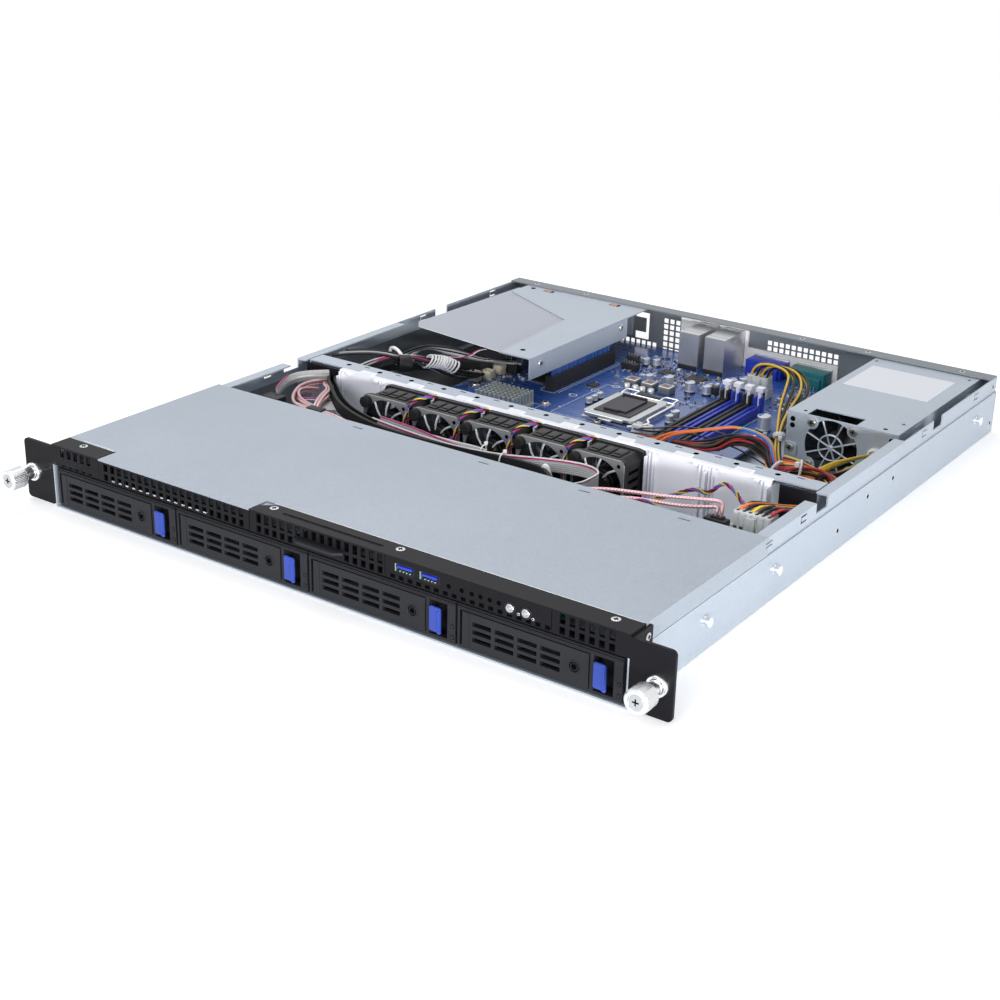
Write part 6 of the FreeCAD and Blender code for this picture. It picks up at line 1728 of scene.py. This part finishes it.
            loom.wire(
                finish,
                [
                    (168, 291.0 + k, 15.0 + k), (177.0 + k * 0.4, 305.0 + k * 0.8, 25.0 + k * 0.8),
                    (184.0 + k * 0.5, 322, 28.0 + k * 0.5), (187.0 + k * 0.6, 345, 26.0 + k * 0.3),
                    (188.6 + k * 0.6, 359, 22.4 + k * 0.4),
                ],
            )
        loom.done()

    def ribbon_and_sleeve(self) -> None:
        """The flat grey ribbon with its marked edge, the black sleeve and the ties."""
        kit = Kit("signal_run")
        sleeve = [
            (-140, 361, 12), (-164, 341, 16), (-188, 305, 20), (-190, 262, 22), (-187, 238, 25),
            (-178, 222.5, 28.6), (-162.5, 208, 29.9), (-138, 186.3, 29.8), (-116, 174.8, 29.6),
            (-94, 167.6, 29.5), (-73, 164, 29.5), (-40, 163.5, 29.5), (10, 169.5, 29.6), (36, 172, 29.6),
            (52, 168, 29.6), (66, 152, 29.6),
        ]
        kit.of(SLEEVE).strip(traced(sleeve, 8), 8.6, 2.2)
        inner = [
            (-184, 241, 25), (-174, 225, 29), (-158, 211, 30.2), (-134, 190, 30), (-112, 178, 29.6),
            (-90, 171.5, 29.5),
        ]
        kit.of(BLACK).strip(traced(inner, 8), 9, 1)
        ribbon = [
            (x, y, CABLE_DECK)
            for x, y in (
                (-95, 175), (-80, 172.5), (-51, 168.5), (-18, 167), (14, 173), (40, 186), (66, 193.5),
                (80.5, 187), (81, 175), (80, 160), (66, 146),
            )
        ]
        line = traced(ribbon, 10)
        kit.of(GREY).strip(line, 8.6, 0.9)
        kit.of(MAGENTA).strip(lifted(line, 7.4), 1, 1.1)
        kit.of(WHITE).strip(lifted(line, 8.4), 0.6, 1)
        for k in range(5):
            kit.of(WHITE).strip(lifted(line, 0.8 + 1.3 * k), 0.3, 1.05)
        second = traced(
            [(-92, 179, 30.4), (-78, 176.5, 31), (-54, 173, 31.2), (-36, 171, 29.8), (-20, 169.4, 29.6)], 8,
        )
        kit.of(GREY).strip(second, 8, 0.9)
        kit.of(MAGENTA).strip(lifted(second, 7.6), 0.9, 1.1)
        pale = [(x, y, CABLE_DECK) for x, y in ((-46, 174), (-24.6, 173.5), (-10, 175.5), (0, 174))]
        kit.of(WHITE).strip(traced(pale, 8), 8.2, 1.2)
        for x, y in ((14.8, 171.5), (-3.4, 176)):
            kit.of(WHITE).ring((x, y, 34.6), (1, 0.2, 0), 5, 0.5, 24)
            kit.of(WHITE).block((x - 1, y + 1.8, 38.8), (x + 1.2, y + 4, 41.4), 0.5)
        kit.of(WHITE).sheet(
            [(45.5, 29.6), (54.5, 29.6), (53.4, 33), (50.6, 39.6), (48.6, 41), (46.4, 40.2), (45.2, 37)],
            Side.Y, 170.4, 2.2, 0.6,
        )
        kit.done({SLEEVE: ("signal_cables",)})

    def data_leads(self) -> None:
        """The pink data leads with their black plugs, and the pink loops at the left."""
        loom = Loom("data_leads", 1.25)
        loom.wire(
            PINK,
            [
                (50, 138, 32), (66, 152, 34), (92, 167.4, 36.6), (112, 173.5, 37.2), (130.5, 178.5, 37.6),
                (150, 185, 38.6), (164, 189.5, 39.6), (167, 186, 37), (166.5, 184.5, 29),
            ],
        )
        loom.wire(
            PINK,
            [
                (78, 142, 31.6), (92, 158, 33), (109, 169, 34.6), (126, 173.5, 34.8), (141, 177, 34.6),
                (156, 183.5, 35.4), (163.4, 187, 36.6), (163.6, 185, 34), (163.2, 184, 29),
            ],
        )
        for d in (0, 2.6):
            loom.wire(
                PINK,
                [
                    (-184, 238, 26.0 + d), (-180, 222, 32.0 + d), (-185, 211, 32.6 + d),
                    (-183, 197, 32.6 + d), (-170.5, 177, 32.8 + d), (-159.5, 172.6 - d, 33.8),
                    (-146, 170.8 - d, 34),
                ],
            )
            loom.wire(
                PINK,
                [
                    (-178, 214, 28.0 + d), (-182, 203, 31.4 + d), (-177, 190, 32.0 + d),
                    (-164, 178.6 + d, 33), (-146, 173.0 + d, 34),
                ],
            )
            loom.wire(
                PINK,
                [
                    (-183.0 + d, 230, 30), (-176.0 + d, 216, 35), (-161.0 + d, 205.6, 36.4),
                    (-155.5 + d, 191, 37), (-147.4 + d, 176, 36.6), (-144.4 + d, 168.6, 33),
                ],
            )
        loom.wire(
            PINK,
            [(-166, 210, 33), (-160, 204, 34.6), (-151, 194, 35), (-149.6, 184, 35), (-142.8, 173, 34.4)],
        )
        for d in (0, 2.4):
            loom.wire(
                PINK,
                [
                    (-136, 171.6 - d, 34.2), (-122, 169.4 - d, 34.4), (-108, 167.2 - d, 33),
                    (-96, 162.0 - d, 31.6), (-84, 150.0 - d, 31.2), (-74, 138.0 - d, 31),
                ],
            )
        loom.done()
        kit = Kit("data_plugs")
        kit.of(CHIP).block((157, 180.6, 25), (172, 187.4, 30.4), 0.6)
        kit.of(CHIP).block((160.6, 182.4, 29.6), (169.2, 186.6, 31.8), 0.5)
        kit.of(CHIP).block((134, 169, 26), (176, 174, 29.2), 0.4)
        kit.of(PINK).block((118, 166, 29.6), (126, 172, 33), 0.8)
        kit.of(BLACK).block((-148.5, 166.6, 31.6), (-135, 173.6, 36.4), 0.9)
        kit.of(CHIP).block((-194, 171, 29.5), (-179, 181, 34), 0.6)
        kit.of(GREY).sheet(
            [(-142.3, 178.9), (-135.7, 184.2), (-152.2, 197.7), (-154.8, 196.6), (-152.3, 187.2)], Side.Z,
            31.6, 0.5,
        )
        band = traced(
            [(-188, 180, 31), (-196, 194, 30.6), (-200, 208, 31.4), (-195, 220, 32.4), (-184, 233, 31.6)], 8,
        )
        kit.of(GREY).strip(band, 7.4, 0.9)
        kit.of(WHITE).strip(lifted(band, 2.6), 1.6, 1)
        kit.of(MAGENTA).strip(lifted(band[:14], 7.2), 0.6, 1)
        kit.done()

    def left_bundle(self) -> None:
        """The wrapped and taped cables at the left of the board, and the dark sheet under them."""
        loom = Loom("left_bundle", 1)
        colours = [BLACK, GREY, WHITE, BLACK, BLACK, GREY, BLACK, BLACK, WHITE, BLACK, GREY, BLACK]
        for k, finish in enumerate(colours):
            a, b = (k % 4) * 2.2, (k // 4) * 2.4
            loom.wire(
                finish,
                [
                    (-192.0 + a, 250, 20.0 + b), (-188.0 + a, 268, 27.0 + b),
                    (-178.0 + a, 286.0 + b, 33.0 + b * 0.6), (-164.0 + a * 0.8, 300.0 + b, 34.0 + b * 0.5),
                    (-152.0 + a * 0.6, 312.0 + b, 27.0 + b), (-148.0 + a * 0.5, 326.0 + b, 18.0 + b),
                    (-140.0 + a, 342.0 + b, 14.0 + b * 0.5), (-136.0 + a, 352, 16),
                ],
            )
        for k, finish in enumerate([BLACK, GREY, BLACK, WHITE, GREY]):
            d = k * 2.1
            loom.wire(
                finish,
                [
                    (-198.0 + d, 300, 12), (-194.0 + d, 322.0 + d, 24), (-180, 336.0 + d, 33.0 - d * 0.3),
                    (-160, 338.0 + d, 36.0 - d), (-146, 350.0 + d, 32.0 - d), (-136.0 + d * 0.4, 372, 20),
                    (-128.0 + d, 388, 17),
                ],
            )
        for k, finish in enumerate([BLACK, GREY, BLACK]):
            loom.wire(
                finish,
                [
                    (-206, 262.0 + k * 8, 38), (-190, 276.0 + k * 6, 40), (-170, 288.0 + k * 5, 39.0 - k),
                    (-158, 296.0 + k * 4, 34),
                ],
            )
        loom.done()
        thin = Loom("left_pair", 0.55)
        for finish, d in ((MAGENTA, 0), (WHITE, 1.3)):
            thin.wire(
                finish,
                [
                    (-139.0 + d, 366, 31), (-141.0 + d, 359.6, 32), (-144.4, 352.6 + d, 28.0 - d),
                    (-150, 350.4, 25.4 + d), (-156, 350.1 + d, 24), (-166.3, 350, 22.0 + d), (-178, 352, 20),
                ],
            )
        for d in (0, 2.4):
            thin.wire(
                MAGENTA,
                [
                    (-192, 250, 24.0 + d), (-186.0 + d, 270, 31), (-176.0 + d, 288, 37),
                    (-163.0 + d, 302, 37.6), (-151.0 + d, 314, 31),
                ],
            )
        for finish, rise in ((WHITE, 0), (MAGENTA, 1.2)):
            thin.wire(
                finish,
                [
                    (-172, 184, 31.6 + rise), (-166, 187, 32.6 + rise), (-160, 189.6, 32.8 + rise),
                    (-154, 194, 32.0 + rise), (-148, 200, 30),
                ],
            )
        thin.done()
        kit = Kit("left_wraps")
        wrap = traced([(-153, 311, 32), (-149, 317, 31), (-144, 322, 29.5), (-139, 326.5, 26)], 7)
        for k, p in enumerate(wrap[::2]):
            x, y, z = p / MM
            kit.of(WHITE).ring((x, y - PANEL_TO_ROW, z), (0.4, 0.6, -0.6), 5.6 - k * 0.06, 0.75, 18)
        kit.of(BLACK).turned(
            (-160, 292, 33), (0.65, 0.75, -0.1),
            [(6.4, -5), (7, -4), (7, 4), (6.4, 5), (5, 5), (5, -5), (6.4, -5)], 20,
        )
        kit.of(WHITE).ring((-171, 296, 36), (0.2, 0.9, 0.3), 7.5, 1.3, 28)
        kit.of(CHIP).block((-206, 326, 1.2), (-146, 505, 2), 0.2)
        kit.done()

    def fan_header(self) -> None:
        """The brown and black leads to the clear fan headers."""
        loom = Loom("fan_header_leads", 0.6)
        loom.wire(
            BROWN,
            [
                (24, 327, 13), (30, 322.5, 17), (42, 319.6, 20.2), (57, 323.4, 24.2), (76, 322.6, 27.2),
                (97, 321, 28.6), (122, 315, 24), (150, 303, 18),
            ],
        )
        loom.wire(
            BLACK,
            [
                (21, 327, 13), (28, 321, 15.6), (40, 316, 18.4), (56, 318.4, 21.6), (76, 317, 24.2),
                (98, 314, 25), (124, 310, 22), (150, 301, 17),
            ],
        )
        loom.done()


@dataclass
class Studio:
    """Camera, lamps, floor and background."""

    eye: Point = (0.58608, -0.90063, 0.42632)
    turn: Point = (67.2592, -1.1697, 35.3762)
    lens: float = 60.18
    sensor: float = 36.0
    fill: float = 0.42
    floor_half: float = 9.0
    floor_drop: float = 0.0005
    floor_glow: float = 0.35
    shadow_scale: float = 0.8
    shadow_far: float = 0.1
    shadow_near: float = 0.55
    lamps: tuple[tuple[str, Point, float, float, float], ...] = field(
        default_factory=lambda: (
            ("top_soft", (-0.9, 0.5, 1.9), 1.8, 1.8, 20),
            ("right_soft", (1.5, -1, 0.16), 1.4, 0.22, 36),
            ("front_soft", (0.1, -2.2, 1.25), 1.6, 1.6, 26),
        )
    )

    def build(self) -> None:
        """Set up everything round the object."""
        scene = bpy.context.scene
        scene.view_settings.view_transform = "Standard"
        lens = bpy.data.cameras.new("camera")
        lens.lens = self.lens
        lens.sensor_width = self.sensor
        camera = bpy.data.objects.new("camera", lens)
        camera.location = self.eye
        camera.rotation_euler = [math.radians(a) for a in self.turn]
        scene.collection.objects.link(camera)
        scene.camera = camera
        for name, place, wide, tall, power in self.lamps:
            data = bpy.data.lights.new(name, "AREA")
            data.shape = "ELLIPSE"
            data.size = wide
            data.size_y = tall
            data.energy = power
            lamp = bpy.data.objects.new(name, data)
            lamp.location = place
            lamp.rotation_euler = (-Vector(place)).to_track_quat("-Z", "Y").to_euler()
            scene.collection.objects.link(lamp)
        self.background(scene)
        self.floor(scene)

    def _seen_straight(self, tree: bpy.types.NodeTree) -> bpy.types.NodeSocket:
        """A socket that is 1 for camera, mirror and see-through rays.

        Args:
            tree: The node tree.

        Returns:
            The socket.
        """
        path = node(tree, "LightPath")
        first = node(tree, "Math")
        first.operation = "MAXIMUM"
        tree.links.new(path.outputs["Is Camera Ray"], first.inputs[0])
        tree.links.new(path.outputs["Is Glossy Ray"], first.inputs[1])
        second = node(tree, "Math")
        second.operation = "MAXIMUM"
        tree.links.new(first.outputs[0], second.inputs[0])
        tree.links.new(path.outputs["Is Transmission Ray"], second.inputs[1])
        return second.outputs[0]

    def _nearness(self, tree: bpy.types.NodeTree) -> bpy.types.NodeSocket:
        """A socket that falls from 1 near the object to 0 far from it.

        Args:
            tree: The node tree.

        Returns:
            The socket.
        """
        place = node(tree, "TexCoord")
        shrink = node(tree, "Mapping", Scale=(self.shadow_scale,) * 3)
        ball = node(tree, "TexGradient")
        ball.gradient_type = "SPHERICAL"
        reach = node(tree, "MapRange", From_Min=self.shadow_far, From_Max=self.shadow_near)
        tree.links.new(place.outputs["Object"], shrink.inputs["Vector"])
        tree.links.new(shrink.outputs["Vector"], ball.inputs["Vector"])
        tree.links.new(ball.outputs["Fac"], reach.inputs["Value"])
        return reach.outputs["Result"]

    def background(self, scene: bpy.types.Scene) -> None:
        """A white background that lights the object only softly.

        Args:
            scene: The scene that takes the world.
        """
        world = bpy.data.worlds.new("studio")
        world.use_nodes = True
        tree = world.node_tree
        tree.nodes.clear()
        out = node(tree, "OutputWorld")
        soft = node(tree, "Background", Color=(0.93, 0.96, 1.0, 1.0), Strength=self.fill)
        white = node(tree, "Background", Color=(1.0, 1.0, 1.0, 1.0), Strength=1.0)
        mix = node(tree, "MixShader")
        tree.links.new(self._seen_straight(tree), mix.inputs["Fac"])
        tree.links.new(soft.outputs["Background"], mix.inputs[1])
        tree.links.new(white.outputs["Background"], mix.inputs[2])
        tree.links.new(mix.outputs["Shader"], out.inputs["Surface"])
        scene.world = world

    def floor(self, scene: bpy.types.Scene) -> None:
        """A wide pale floor that keeps a soft shadow.

        Args:
            scene: The scene that takes the floor.
        """
        sheet = bmesh.new()
        bmesh.ops.create_grid(sheet, x_segments=2, y_segments=2, size=self.floor_half)
        data = bpy.data.meshes.new("floor")
        sheet.to_mesh(data)
        sheet.free()
        made = bpy.data.materials.new("pale_floor")
        made.use_nodes = True
        tree = made.node_tree
        tree.nodes.clear()
        out = node(tree, "OutputMaterial")
        diffuse = node(tree, "BsdfDiffuse", Color=(0.86, 0.86, 0.87, 1.0))
        glow = node(tree, "Emission", Color=(1.0, 1.0, 1.0, 1.0), Strength=self.floor_glow)
        both = node(tree, "AddShader")
        tree.links.new(diffuse.outputs["BSDF"], both.inputs[0])
        tree.links.new(glow.outputs["Emission"], both.inputs[1])
        white = node(tree, "Emission")
        far = node(tree, "MixShader")
        tree.links.new(self._nearness(tree), far.inputs["Fac"])
        tree.links.new(white.outputs["Emission"], far.inputs[1])
        tree.links.new(both.outputs["Shader"], far.inputs[2])
        mix = node(tree, "MixShader")
        tree.links.new(self._seen_straight(tree), mix.inputs["Fac"])
        tree.links.new(diffuse.outputs["BSDF"], mix.inputs[1])
        tree.links.new(far.outputs["Shader"], mix.inputs[2])
        tree.links.new(mix.outputs["Shader"], out.inputs["Surface"])
        data.materials.append(made)
        floor = bpy.data.objects.new("floor", data)
        floor.location = (0, 0, -self.floor_drop)
        scene.collection.objects.link(floor)


def main() -> None:
    """Build the studio and every sub-assembly."""
    logging.basicConfig(level=logging.INFO, format="%(message)s")
    for part in (
        Studio(), Wiring(), Casing(), FrontPanel(), RackEars(), DriveTrays(), FanRow(), Mainboard(), Riser(),
        PowerSupply(),
    ):
        part.build()
        LOG.info("sub-assembly %s is built", type(part).__name__)


if __name__ == "__main__":
    main()
